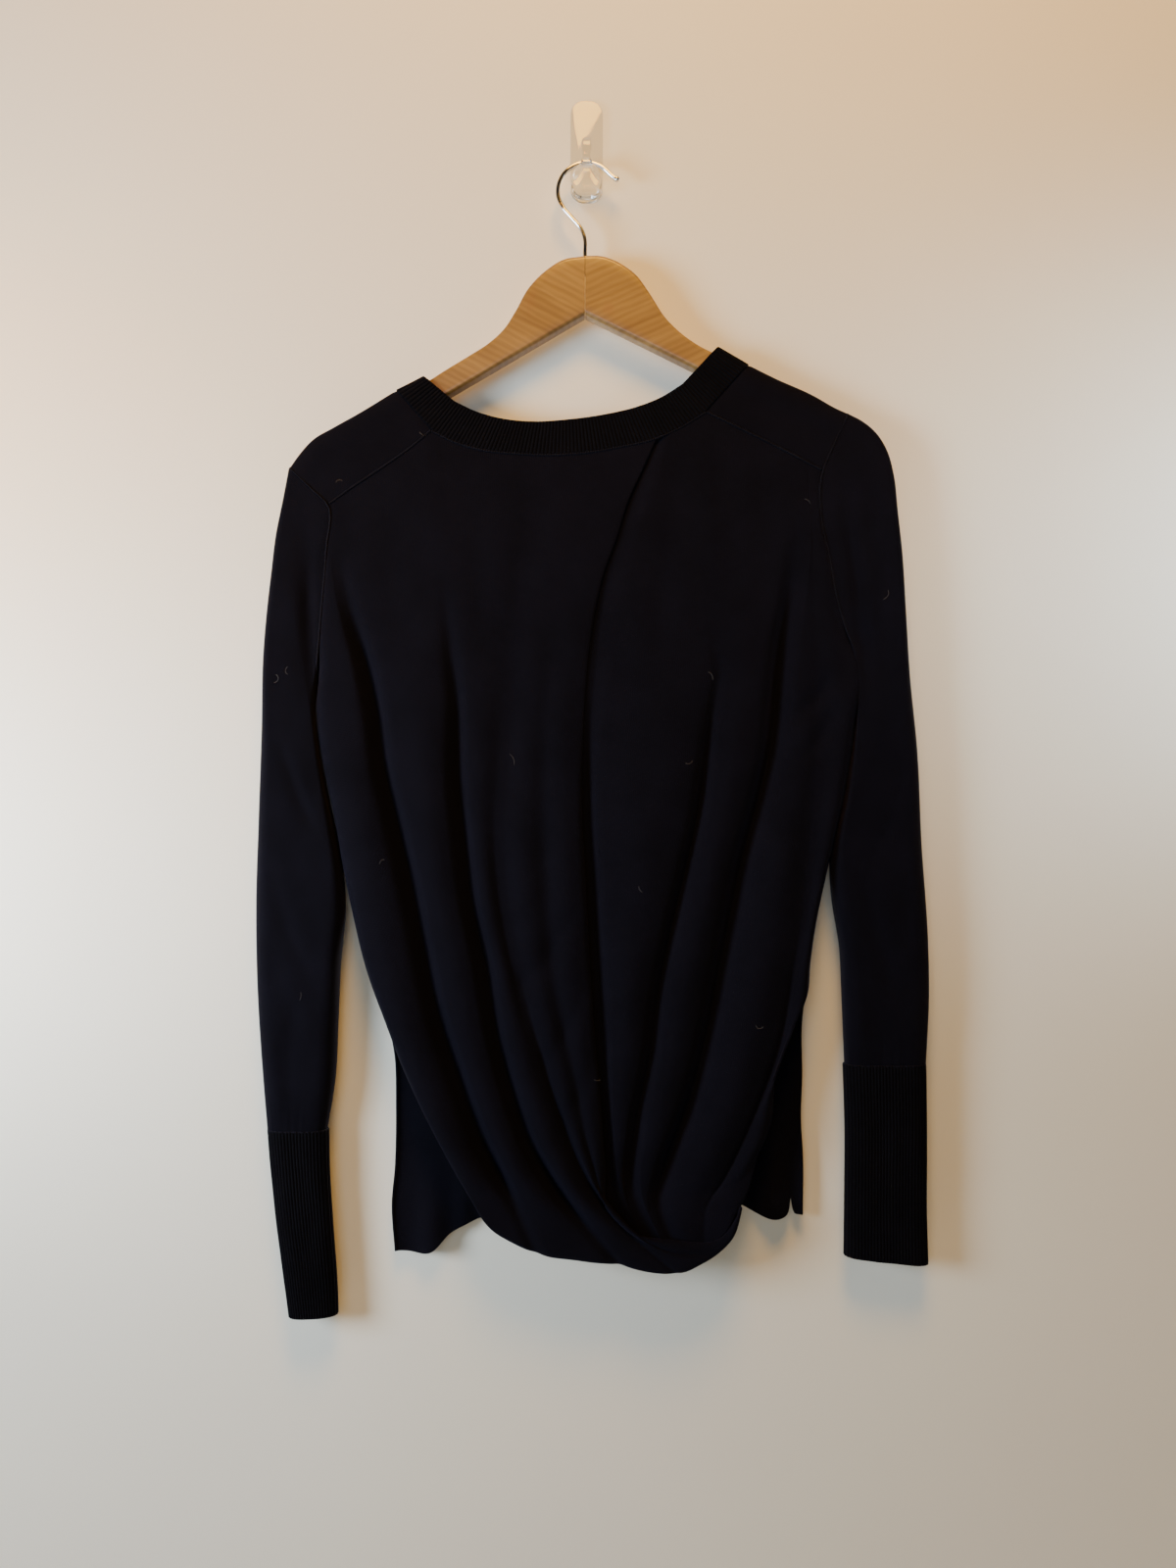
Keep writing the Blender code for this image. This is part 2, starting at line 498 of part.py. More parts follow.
def over_arm(low, ridge, far_low):
    """A line over a shoulder, from a low place on the near side to one on the far side."""
    low, ridge, far_low = (np.asarray(place, float) for place in (low, ridge, far_low))
    points = []
    for foot, side in ((low, -1.0), (far_low, 1.0)):
        back = (foot - ridge) / np.linalg.norm(foot - ridge)
        stretch = [(*foot, HUG), (*(0.5 * (foot + ridge)), HUG)]
        stretch += [(*(ridge + back * drop), offset) for drop, offset in OVER_ARM]
        line = np.array([(x, PLANE + side * offset, z) for x, z, offset in stretch])
        points.append(line)
    return np.concatenate([points[0], points[1][::-1][1:]])


def front_neck_route():
    """The deep front neckline on the far side, from left to right."""
    left, right = np.asarray(YOKE_LEFT[0]), np.asarray(YOKE_RIGHT[0])
    from_left = ((16.0, -22.0), (52.0, -43.0), (96.5, -53.0))
    from_right = ((-52.0, -51.0), (-15.0, -20.0))
    places = [left, *(left + step for step in from_left), *(right + step for step in from_right), right]
    return np.array(places)


def front_neckline():
    """The places of the front panel's columns along its neckline."""
    return along(front_neck_route(), np.linspace(0, 1, FRONT_NECK_COLUMNS + 1))


def make_front_panel(material):
    """The plain front panel, which carries over both shoulders to the yoke seams."""
    shoulder = np.array([0.0, 0.006, 0.025, 0.06, 0.12, 0.26, 0.44, 0.62, 0.81, 1.0])
    left_ridge = along(RIDGE_LEFT, 1 - shoulder)
    left_yoke = along(YOKE_LEFT, 1 - shoulder)
    right_ridge = along(RIDGE_RIGHT, 1 - shoulder)[::-1]
    right_yoke = along(YOKE_RIGHT, 1 - shoulder)[::-1]
    neck = front_neckline()
    n = len(shoulder)

    lines = [over_arm(yoke, ridge, yoke) for yoke, ridge in zip(left_yoke, left_ridge)]
    right_lines = [over_arm(yoke, ridge, yoke) for yoke, ridge in zip(right_yoke, right_ridge)]
    strip_rows = len(lines[0])
    top = np.concatenate([left_yoke, neck[1:-1], right_yoke])

    rows = np.concatenate([(0.0, 0.03), np.linspace(0.08, 1.0, 16)])
    left_route = (ARMHOLE_LEFT[2:] + SIDE_LEFT[1:] + FRONT_LEFT[1:])[::-1]
    right_route = (ARMHOLE_RIGHT[2:] + SIDE_RIGHT[1:] + FRONT_RIGHT[1:])[::-1]
    left, right = along(left_route, rows), along(right_route, rows)
    span = np.linalg.norm(top[-1] - top[0])
    across = np.concatenate([[0], np.cumsum(np.linalg.norm(np.diff(top, axis=0), axis=1))])
    even = np.clip(np.dot(top - top[0], (top[-1] - top[0]) / span) / span, 0, 1)
    across = across / across[-1]
    share = rows[:, None] * even[None] + (1 - rows[:, None]) * across[None]
    base = along(HEM, share[0])
    v, u = rows[:, None, None], share[..., None]
    grid = ((1 - v) * base[None] + v * top[None] + (1 - u) * left[:, None] + u * right[:, None]
            - (1 - v) * ((1 - u) * base[0] + u * base[-1]) - v * ((1 - u) * top[0] + u * top[-1]))

    depth = np.full(grid.shape[:2], FAR) - FRONT_LEAN * (1 - rows[:, None])
    for centre, apex, half, rise in FLUTES:
        grown = ease((apex - grid[..., 1]) / FLUTE_RUN)
        lean = np.clip((grid[..., 0] - centre) / half, -1, 1)
        depth = depth - rise * grown * 0.5 * (1 + np.cos(np.pi * lean))
    free = ease((FREE_SHARE - rows) / 0.05)
    armhole = ease((rows - ARMHOLE_SHARE) / 0.03)
    edge_depth = PLANE + SEAM_LIFT + HEM_LIFT * free + (HUG - SEAM_LIFT) * armhole
    for side in (0, -1):
        depth = round_edge(grid, depth, side, edge_depth, SIDE_ROUND)

    body = with_depth(grid, depth)
    strips = np.zeros((strip_rows - 1, grid.shape[1], 3))
    count = grid.shape[1]
    for j in range(n):
        strips[:, j] = lines[j][::-1][1:]
        strips[:, count - n + j] = right_lines[j][::-1][1:]
    keep = np.ones((len(rows) + strip_rows - 2, count - 1), bool)
    keep[len(rows) - 1:, n - 1:count - n] = False
    return add_wall("front_panel", np.concatenate([body, strips]), material, keep=keep)


def length_of(points):
    """Length of a line of points."""
    return np.linalg.norm(np.diff(points, axis=0), axis=1).sum()


def neck_stretches():
    """The neck seam and the collar's top edge, each as back, right shoulder, front, left shoulder."""
    shares = np.linspace(0, 1, 40)
    low_left, low_right = np.asarray(COLLAR_TOP_NEAR[0]), np.asarray(COLLAR_TOP_NEAR[-1])
    neckline = front_neckline()
    rise = np.linspace(0, 1, len(neckline))[:, None]
    shift = (low_left - YOKE_LEFT[0]) * (1 - rise) + (low_right - YOKE_RIGHT[0]) * rise
    middle = np.sin(np.pi * rise)
    shift = shift * (1 - middle) + np.array([0.0, COLLAR_HEIGHT]) * middle
    seam = (with_depth(along(NECK_NEAR, shares), NEAR),
            over_arm(YOKE_RIGHT[0], RIDGE_RIGHT[0], YOKE_RIGHT[0]),
            with_depth(neckline, FAR)[::-1],
            over_arm(YOKE_LEFT[0], RIDGE_LEFT[0], YOKE_LEFT[0])[::-1])
    top = (with_depth(along(COLLAR_TOP_NEAR, shares), NEAR - 0.6),
           over_arm(low_right, COLLAR_RIDGE_RIGHT, low_right),
           with_depth(neckline + shift, FAR + 0.6)[::-1],
           over_arm(low_left, COLLAR_RIDGE_LEFT, low_left)[::-1])
    return seam, top


def outward(rings, centre_of):
    """Unit normals of a tube of rings that point away from its middle line."""
    around = np.roll(rings, -1, axis=1) - np.roll(rings, 1, axis=1)
    down = np.gradient(rings, axis=0)
    normal = np.cross(around, down)
    normal /= np.linalg.norm(normal, axis=2, keepdims=True)
    facing = np.sign(np.sum(normal * (rings - centre_of), axis=2, keepdims=True))
    return normal * np.where(np.median(facing) < 0, -1.0, 1.0)


def add_ribbed_tube(name, rings, normals, plain, material):
    """A tube whose outer points rise and fall as ribs, over an inside with fewer points."""
    rows, cols = rings.shape[:2]
    wave = np.where(np.arange(cols) % 2 == 0, RIB_RISE, 0.0)[None, :, None]
    outer = rings + normals * (0.5 * RIB_WALL + wave)
    picked = np.round(np.linspace(0, cols, plain, endpoint=False)).astype(int)
    inner = (rings - normals * 0.5 * RIB_WALL)[[0, -1]][:, picked]
    points = np.concatenate([outer.reshape(-1, 3), inner.reshape(-1, 3)])
    base = rows * cols
    faces = quads(rows, cols, closed=True)
    for j in range(plain):
        k = (j + 1) % plain
        faces.append((base + plain + j, base + plain + k, base + k, base + j))
        stop = picked[k] if k else cols
        for row, low in ((0, base), (rows - 1, base + plain)):
            half = (picked[j] + stop) // 2
            for c in range(picked[j], stop):
                owner = low + (j if c < half else k)
                faces.append((row * cols + c, owner, row * cols + (c + 1) % cols))
            faces.append((row * cols + half % cols, low + j, low + k))
    mesh = mesh_of(name, points, faces)
    obj = add_object(name, mesh, material)
    face_out(obj)
    shade(obj, 50.0)
    return obj


def make_collar(material):
    """The rib band round the neck."""
    seam, top = neck_stretches()
    counts = [2 * int(round(length_of(edge) / RIB_PITCH)) for edge in top]
    counts[0] -= sum(counts) % 6
    low = np.concatenate([on_line(edge, np.arange(n) / n) for edge, n in zip(seam, counts)])
    high = np.concatenate([on_line(edge, np.arange(n) / n) for edge, n in zip(top, counts)])
    span = high - low
    low = low + span / np.linalg.norm(span, axis=1, keepdims=True) * SEAM
    rings = np.stack([low, high])
    centre = np.array([0.5 * (YOKE_LEFT[0][0] + YOKE_RIGHT[0][0]), PLANE, -215.0])
    return add_ribbed_tube("collar", rings, outward(rings, centre), sum(counts) // 3, material)


# ---------------------------------------------------------------- sleeves


def sleeve_rings(side, rows):
    """Rings of a sleeve, from the armhole seam to the cuff."""
    outer_route, inner_route, armhole = ((SLEEVE_LEFT_OUTER, SLEEVE_LEFT_INNER, ARMHOLE_LEFT) if side < 0
                                         else (SLEEVE_RIGHT_OUTER, SLEEVE_RIGHT_INNER, ARMHOLE_RIGHT))
    shares = np.array([0.0, 0.01, 0.035, 0.09, 0.2, 0.36, 0.52, 0.68, 0.82, 0.92, 0.975, 1.0])
    outer, inner = along(outer_route, rows), along(inner_route, rows)
    seam = along(armhole, shares)
    chord = seam[0] + (seam[-1] - seam[0]) * shares[:, None]
    hold = np.clip(1 - rows / 0.3, 0, 1)[:, None, None] ** 1.6
    face = outer[:, None] * (1 - shares[:, None]) + inner[:, None] * shares[:, None] + hold * (seam - chord)
    face = face + np.array([side * SLEEVE_SEAM, 0.0])
    length = np.linalg.norm(face[:, -1] - face[:, 0], axis=1)[:, None]
    plane = column(SLEEVE_SECTIONS, rows, 1)[:, None]
    half = column(SLEEVE_SECTIONS, rows, 2)[:, None]
    outer_round = rounding(shares * length, column(SLEEVE_SECTIONS, rows, 3)[:, None])
    inner_round = rounding((1 - shares) * length, column(SLEEVE_SECTIONS, rows, 4)[:, None])
    bulge = half * outer_round * inner_round
    near = with_depth(face, plane - bulge)
    near[..., 1] += crease_depth(side, face)
    far = with_depth(face, plane + bulge)
    return np.concatenate([near, far[:, -2:0:-1]], axis=1)


def crease_depth(side, places):
    """How far the creases of a sleeve press in its near face."""
    depth = np.zeros(places.shape[:-1])
    for of_side, x0, z0, x1, z1, width, press in SLEEVE_CREASES:
        if of_side != side:
            continue
        start, run = np.array([x0, z0]), np.array([x1 - x0, z1 - z0])
        t = np.clip(np.dot(places - start, run) / np.dot(run, run), 0, 1)
        gap = np.linalg.norm(places - start - t[..., None] * run, axis=-1)
        depth += press * np.exp(-((gap / width) ** 2))
    return depth


def make_sleeve(name, side, material):
    """A set-in sleeve that hangs flat, open at the armhole and at the cuff."""
    rows = np.concatenate([np.linspace(0, 0.12, 4), np.linspace(0.17, 0.92, 10), (0.965, 0.997)])
    return add_wall(name, sleeve_rings(side, rows), material, closed=True)


def cuff_ring(outer, inner, half_depth, count):
    """A flattened ring between an outer and an inner place, at even steps."""
    outer, inner = np.asarray(outer), np.asarray(inner)
    turn = np.linspace(0, 2 * np.pi, 241)[:-1]
    share = 0.5 * (1 - np.cos(turn))
    length = np.linalg.norm(inner - outer)
    bulge = rounding(share * length, CUFF_ROUNDNESS) * rounding((1 - share) * length, CUFF_ROUNDNESS)
    places = outer + share[:, None] * (inner - outer)
    depth = CUFF_DEPTH - np.sign(np.sin(turn)) * half_depth * bulge
    ring = with_depth(places, depth)
    return on_line(np.vstack([ring, ring[:1]]), np.arange(count) / count)


def make_cuff(name, route, side, material):
    """A long rib cuff that narrows to the wrist."""
    rows = np.array([0.0, 0.12, 0.5, 1.0])
    outer, inner = along(route[0], rows), along(route[1], rows)
    half = np.interp(rows, (0, 1), CUFF_HALF_DEPTH)
    girth = length_of(cuff_ring(outer[1], inner[1], half[1], 120))
    count = 2 * int(round(girth / RIB_PITCH))
    count -= count % 6
    rings = np.stack([cuff_ring(a, b, h, count) for a, b, h in zip(outer, inner, half)])
    rings[..., 0] += side * SEAM
    centre = rings.mean(axis=1, keepdims=True)
    return add_ribbed_tube(name, rings, outward(rings, centre), count // 3, material)


# ---------------------------------------------------------------- hanger and wall hook


def make_hanger_half(name, side, bore, material):
    """One half of the wooden hanger, with rounded edges and half of the bore for the wire."""
    top, ridge, end = ((WOOD_TOP_LEFT, WOOD_RIDGE_LEFT, WOOD_END_LEFT) if side < 0
                       else (WOOD_TOP_RIGHT, WOOD_RIDGE_RIGHT, WOOD_END_RIGHT))
    gap = np.array([side * 0.5 * FIT, 0.0])
    covered = np.array(ridge) - (0.0, ARM_COVER)
    crown = along(np.concatenate([top, covered]), np.linspace(0, 1, 26))
    outline = np.concatenate([crown, end, [(HANGER_SEAM_X, HANGER_NOTCH_Z)]])
    outline[[0, -1]] += gap
    half = 0.5 * WOOD_THICKNESS
    obj = outline_prism(name, outline, PLANE - half, PLANE + half, material)
    shape = bmesh.new()
    shape.from_mesh(obj.data)
    seam_x = (HANGER_SEAM_X + gap[0]) * MM
    rims = [edge for edge in shape.edges
            if abs(edge.verts[0].co.y - edge.verts[1].co.y) < 1e-6
            and max(abs(vert.co.x - seam_x) for vert in edge.verts) > 1e-5]
    bmesh.ops.bevel(shape, geom=rims, offset=WOOD_EDGE * MM, segments=2, profile=0.5, affect="EDGES")
    shape.to_mesh(obj.data)
    shape.free()
    combine(obj, bore, "DIFFERENCE")
    shade(obj, 40.0)
    return obj


def make_bore(material):
    """The cutter for the hole that takes the hanger's wire."""
    turn = np.linspace(0, 2 * np.pi, 17)[:-1]
    radius = WIRE_RADIUS + FIT
    ring = np.stack([HANGER_SEAM_X + radius * np.cos(turn), PLANE + radius * np.sin(turn)], axis=1)
    points = np.concatenate([np.column_stack([ring, np.full(16, z)]) for z in (BORE_DEPTH_Z, -80.0)])
    sides = [(i, (i + 1) % 16, 16 + (i + 1) % 16, 16 + i) for i in range(16)]
    mesh = mesh_of("wire_bore", points, [tuple(range(16))[::-1], tuple(range(16, 32)), *sides])
    obj = add_object("wire_bore", mesh, material)
    face_out(obj)
    return as_helper(obj)


def make_wire(material):
    """The hanger's hook: one bent wire with a bead at its tip."""
    start, stop = (math.radians(angle) for angle in WIRE_ARC)
    turn = np.linspace(start, stop, 16)
    arc = np.asarray(WIRE_CENTRE) + WIRE_BEND_RADIUS * np.stack([np.cos(turn), np.sin(turn)], axis=1)
    route = np.concatenate([WIRE_SHANK, arc, WIRE_TAIL])
    places = along(route, np.linspace(0, 1, 46))
    curve = bpy.data.curves.new("hanger_wire", "CURVE")
    curve.dimensions = "3D"
    curve.bevel_depth = WIRE_RADIUS * MM
    curve.bevel_resolution = 2
    curve.use_fill_caps = True
    spline = curve.splines.new("POLY")
    spline.points.add(len(places) - 1)
    for point, (x, z) in zip(spline.points, places):
        point.co = (x * MM, PLANE * MM, z * MM, 1.0)
    for point, share in zip(spline.points[-3:], (1.0, BEAD_RADIUS / WIRE_RADIUS, 0.8)):
        point.radius = share
    return add_object("hanger_wire", curve, material)


def make_wall_hook(material):
    """The clear wall hook: a rounded plate joined to a tongue that curves out and up."""
    half_w, half_h, r = 0.5 * PLATE_WIDTH, 0.5 * PLATE_HEIGHT, PLATE_CORNER
    corners = ((1, 1, 0), (-1, 1, 90), (-1, -1, 180), (1, -1, 270))
    outline = [(sx * (half_w - r) + r * math.cos(math.radians(start + turn)),
                sz * (half_h - r) + r * math.sin(math.radians(start + turn)))
               for sx, sz, start in corners for turn in (0, 22.5, 45, 67.5, 90)]
    plate = outline_prism("wall_hook", outline, -PLATE_THICKNESS, 0.0, material)
    right = along(TONGUE_HALF_OUTLINE, np.linspace(0, 1, 17))
    left = right[-2:0:-1] * (-1.0, 1.0)
    outline = np.concatenate([right, left])
    front = as_helper(outline_prism("tongue_front_outline", outline, -30.0, 5.0, material))
    profile = np.asarray(TONGUE_PROFILE)
    count = len(profile)
    points = np.concatenate([np.column_stack([np.full(count, x), profile]) for x in (-14.0, 14.0)])
    sides = [(i, (i + 1) % count, count + (i + 1) % count, count + i) for i in range(count)]
    faces = [tuple(range(count))[::-1], tuple(range(count, 2 * count)), *sides]
    tongue = as_helper(add_object("tongue_side_profile", mesh_of("tongue", points, faces), material))
    face_out(tongue)
    combine(tongue, front, "INTERSECT")
    combine(plate, tongue, "UNION")
    shade(plate, 35.0)
    return plate


def main():
    for obj in list(bpy.data.objects):
        bpy.data.objects.remove(obj, do_unlink=True)
    knit = finish("black knit", KNIT_BLACK)
    rib = finish("black rib", RIB_BLACK)
    wood = finish("honey wood", HONEY_WOOD)
    metal = finish("bright wire", BRIGHT_WIRE)
    clear = finish("clear plastic", CLEAR_PLASTIC)
    make_front_panel(knit)
    make_over_wrap(knit)
    make_under_wrap(knit)
    make_collar(rib)
    for name, side, route in (("left", -1, CUFF_LEFT), ("right", 1, CUFF_RIGHT)):
        make_sleeve(f"sleeve_{name}", side, knit)
        make_cuff(f"cuff_{name}", route, side, rib)
    bore = make_bore(wood)
    make_hanger_half("hanger_left", -1, bore, wood)
    make_hanger_half("hanger_right", 1, bore, wood)
    make_wire(metal)
    make_wall_hook(clear)


main()
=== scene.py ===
"""Looks of a crew neck sweater with a crossover back, on its wooden hanger and clear wall hook.

The frame is in metres, +Z up. The wall is the plane y = 0 and the sweater hangs on its -Y side.
Shapes are worked out in millimetres, as routes of (x, z) places on the wall with a depth y.
Left and right are those of someone who faces the wall.
"""

import logging
import math
from collections.abc import Sequence
from dataclasses import dataclass, field
from enum import Enum

import bpy
import numpy as np
from mathutils import Matrix, Vector


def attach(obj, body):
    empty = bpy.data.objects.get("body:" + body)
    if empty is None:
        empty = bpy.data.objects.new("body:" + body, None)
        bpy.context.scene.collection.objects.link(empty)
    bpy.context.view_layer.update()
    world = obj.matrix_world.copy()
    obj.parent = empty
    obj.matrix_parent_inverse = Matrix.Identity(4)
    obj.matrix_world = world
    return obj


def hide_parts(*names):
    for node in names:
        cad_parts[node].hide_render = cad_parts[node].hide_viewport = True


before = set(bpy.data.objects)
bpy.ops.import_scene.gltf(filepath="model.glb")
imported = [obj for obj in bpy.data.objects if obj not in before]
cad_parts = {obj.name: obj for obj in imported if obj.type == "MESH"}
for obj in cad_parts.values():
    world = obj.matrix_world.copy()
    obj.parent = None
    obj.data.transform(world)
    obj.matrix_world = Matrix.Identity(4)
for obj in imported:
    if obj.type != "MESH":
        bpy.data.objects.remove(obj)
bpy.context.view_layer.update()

log = logging.getLogger("crossover_sweater")

MM = 0.001
BODY = "root"
JOINED_POINTS = 161
NEAREST_POINTS = 1601
CREASE_POINTS = 25
CREASE_FADE = 0.6
EDGE_STEPS = (0.12, 0.4, 0.9, 1.6)  # distances of the extra rows at a rounded edge
EDGE_CLEAR = 1.3  # how many of the last of them stay free of even rows
Route = tuple[tuple[float, float], ...]
Array = np.ndarray
Colour = tuple[float, float, float]
Material = bpy.types.Material
Node = bpy.types.Node
Object = bpy.types.Object
Socket = bpy.types.NodeSocket
Tree = bpy.types.NodeTree


class Side(Enum):
    """The two sides of the sweater, with their sign along X."""

    LEFT = -1
    RIGHT = 1


class Slot(Enum):
    """The record's material slots."""

    KNIT = "knit"
    RIB = "rib"
    WOOD = "hanger_wood"
    WIRE = "hanger_wire"
    PLASTIC = "clear_plastic"


# ---------------------------------------------------------------- curves and grids


def along(route: Sequence, fractions: Array) -> Array:
    """Points at the given shares of a smooth curve: cubic Hermite pieces with centred slopes.

    Args:
        route: places on the curve, in order.
        fractions: shares of its length, from 0 to 1.

    Returns:
        One place for each share.
    """
    route = np.asarray(route, float)
    steps = np.linalg.norm(np.diff(route, axis=0), axis=1)
    at = np.concatenate([[0.0], np.cumsum(steps)]) / steps.sum()
    slopes = np.gradient(route, at, axis=0)
    f = np.asarray(fractions, float)
    i = np.clip(np.searchsorted(at, f, side="right") - 1, 0, len(at) - 2)
    span = (at[i + 1] - at[i])[:, None]
    t = (f - at[i])[:, None] / span
    start = (2 * t**3 - 3 * t**2 + 1) * route[i] + (t**3 - 2 * t**2 + t) * span * slopes[i]
    end = (3 * t**2 - 2 * t**3) * route[i + 1] + (t**3 - t**2) * span * slopes[i + 1]
    return start + end


def on_line(line: Array, fractions: Array) -> Array:
    """Places at the given shares of a polyline's length, read straight along its pieces.

    Args:
        line: the polyline's points.
        fractions: shares of its length.

    Returns:
        One place for each share.
    """
    steps = np.linalg.norm(np.diff(line, axis=0), axis=1)
    at = np.concatenate([[0.0], np.cumsum(steps)]) / steps.sum()
    return np.stack([np.interp(fractions, at, line[:, axis]) for axis in range(line.shape[1])], axis=-1)


def joined(*routes: Sequence) -> Array:
    """A fine line along smooth routes that meet at corners."""
    lines = [along(route, np.linspace(0.0, 1.0, JOINED_POINTS)) for route in routes]
    return np.concatenate([lines[0], *(line[1:] for line in lines[1:])])


def nearest_shares(line: Array, places: Array) -> Array:
    """Share of the line's length at which it passes nearest to each place.

    Args:
        line: the polyline's points.
        places: the places to look from.

    Returns:
        One share for each place, from 0 to 1.
    """
    shares = np.linspace(0.0, 1.0, NEAREST_POINTS)
    dense = on_line(line, shares)
    gaps = np.linalg.norm(dense[None] - np.asarray(places, float)[:, None], axis=2)
    return shares[np.argmin(gaps, axis=1)]


def length_of(points: Array) -> float:
    """Length of a line of points."""
    return float(np.linalg.norm(np.diff(points, axis=0), axis=1).sum())


def column(table: Sequence, at: Array, index: int = 1) -> Array:
    """One column of a table, read straight between its rows at values of its first column."""
    table = np.asarray(table, float)
    return np.interp(at, table[:, 0], table[:, index])


def rounding(distance: Array, radius: Array | float) -> Array:
    """Height of a quarter circle, from 0 at its edge to 1 at the radius."""
    return np.sqrt(1.0 - (1.0 - np.clip(distance / radius, 0.0, 1.0)) ** 2)


def ease(t: Array) -> Array:
    """Soft step 3t^2 - 2t^3 from 0 to 1."""
    t = np.clip(t, 0.0, 1.0)
    return t * t * (3.0 - 2.0 * t)


def with_depth(places: Array, depth: Array | float) -> Array:
    """(x, depth, z) from (x, z) places."""
    return np.stack([places[..., 0], np.broadcast_to(depth, places.shape[:-1]), places[..., 1]], axis=-1)


def soften(values: Array, down: int, across: int, closed: bool = False) -> Array:
    """Rounds off a grid of values with repeated 1-2-1 means.

    Args:
        values: values on a grid of rows by columns.
        down: how many times down the columns.
        across: how many times across the rows.
        closed: True if the columns close to a tube.

    Returns:
        The softened values.
    """
    out = values
    for _ in range(down):
        held = np.concatenate([out[:1], out, out[-1:]])
        out = 0.25 * held[:-2] + 0.5 * out + 0.25 * held[2:]
    for _ in range(across):
        if closed:
            out = 0.5 * out + 0.25 * (np.roll(out, 1, axis=1) + np.roll(out, -1, axis=1))
        else:
            held = np.concatenate([out[:, :1], out, out[:, -1:]], axis=1)
            out = 0.25 * held[:, :-2] + 0.5 * out + 0.25 * held[:, 2:]
    return out


def edged(length: float, step: float, first: bool = True, last: bool = True) -> Array:
    """Even shares of a length, with extra ones close to its ends for a rounded edge.

    Args:
        length: the length in millimetres.
        step: about how far apart the even shares lie.
        first: True for a rounded edge at the start.
        last: True for a rounded edge at the end.

    Returns:
        Shares from 0 to 1.
    """
    even = np.linspace(0.0, 1.0, max(3, int(round(length / step))) + 1)
    near = np.array(EDGE_STEPS) / length
    inner = even[1:-1]
    inner = inner[(inner > near[-1] * EDGE_CLEAR * first) & (inner < 1 - near[-1] * EDGE_CLEAR * last)]
    return np.concatenate([[0.0], near if first else [], inner, 1 - near[::-1] if last else [], [1.0]])


def swell(x: Array, z: Array, seed: float, wide: float = 46.0, tall: float = 190.0) -> Array:
    """Slow unevenness of hanging cloth: five crossed sine waves, longer down than across.

    Args:
        x: places along X.
        z: places along Z.
        seed: phase of the waves.
        wide: wave length across.
        tall: wave length down.

    Returns:
        Values of about -1 to 1.
    """
    total = np.zeros(np.broadcast(x, z).shape)
    for k in range(5):
        turn = 0.35 * math.sin(seed + 2.4 * k)
        u = (x * math.cos(turn) + 0.3 * z * math.sin(turn)) / (wide * (0.7 + 0.23 * k))
        v = (z + 0.2 * x * math.sin(seed * k)) / (tall * (0.6 + 0.2 * k))
        total = total + np.sin(2 * math.pi * u + seed * (k + 1)) * np.cos(2 * math.pi * v + 1.7 * seed + k)
    return total / 2.6


@dataclass(frozen=True)
class Crease:
    """A soft trough, or a ridge where its depth is negative, along a route of (x, z) places."""

    route: Route
    width: float
    depth: float

    def press(self, x: Array, z: Array) -> Array:
        """How far it presses in: a bell across the route, which fades towards both of its ends.

        Args:
            x: places along X.
            z: places along Z.

        Returns:
            The depth at each place.
        """
        line = along(self.route, np.linspace(0.0, 1.0, CREASE_POINTS))
        deepest = np.zeros(x.shape)
        count = len(line) - 1
        for k in range(count):
            start, run = line[k], line[k + 1] - line[k]
            t = np.clip(((x - start[0]) * run[0] + (z - start[1]) * run[1]) / np.dot(run, run), 0.0, 1.0)
            gap = np.hypot(x - start[0] - t * run[0], z - start[1] - t * run[1])
            fade = np.sin(math.pi * np.clip((k + t) / count, 0.0, 1.0)) ** CREASE_FADE
            deepest = np.maximum(deepest, fade * np.exp(-((gap / self.width) ** 2)))
        return self.depth * deepest


def pressed(creases: Sequence[Crease], x: Array, z: Array) -> Array:
    """Sum of what the creases press in at each place."""
    return sum((crease.press(x, z) for crease in creases), np.zeros(x.shape))


# ---------------------------------------------------------------- meshes


def grid_faces(rows: int, cols: int, closed: bool = False, keep: Array | None = None) -> tuple[Array, Array]:
    """Quads of a grid, and the same quads numbered on a grid that is one column wider.

    Args:
        rows: points down.
        cols: points across.
        closed: True if the last column joins the first.
        keep: which cells to keep, or None for all.

    Returns:
        Corner numbers of the points, and of the unrolled cloth places.
    """
    i, j = np.meshgrid(np.arange(rows - 1), np.arange(cols if closed else cols - 1), indexing="ij")
    k = (j + 1) % cols
    faces = np.stack([i * cols + j, i * cols + k, (i + 1) * cols + k, (i + 1) * cols + j], axis=-1)
    wide = cols + 1
    corners = np.stack([i * wide + j, i * wide + j + 1, (i + 1) * wide + j + 1, (i + 1) * wide + j], axis=-1)
    if keep is not None:
        faces, corners = faces[keep], corners[keep]
    return faces.reshape(-1, 4), corners.reshape(-1, 4)


def cloth_places(grid: Array, closed: bool = False) -> Array:
    """Unrolled places of a grid: mean distance across, and distance down each column.

    Args:
        grid: rows by columns by 3.
        closed: True if the last column joins the first.

    Returns:
        Places in millimetres, one column wider than the grid.
    """
    wide = np.concatenate([grid, grid[:, :1] if closed else grid[:, -1:]], axis=1)
    across = np.linalg.norm(np.diff(wide, axis=1), axis=2).mean(axis=0)
    down = np.linalg.norm(np.diff(wide, axis=0), axis=2)
    u = np.concatenate([[0.0], np.cumsum(across)])
    v = np.concatenate([np.zeros((1, wide.shape[1])), np.cumsum(down, axis=0)])
    return np.stack([np.broadcast_to(u, v.shape), -v], axis=-1)


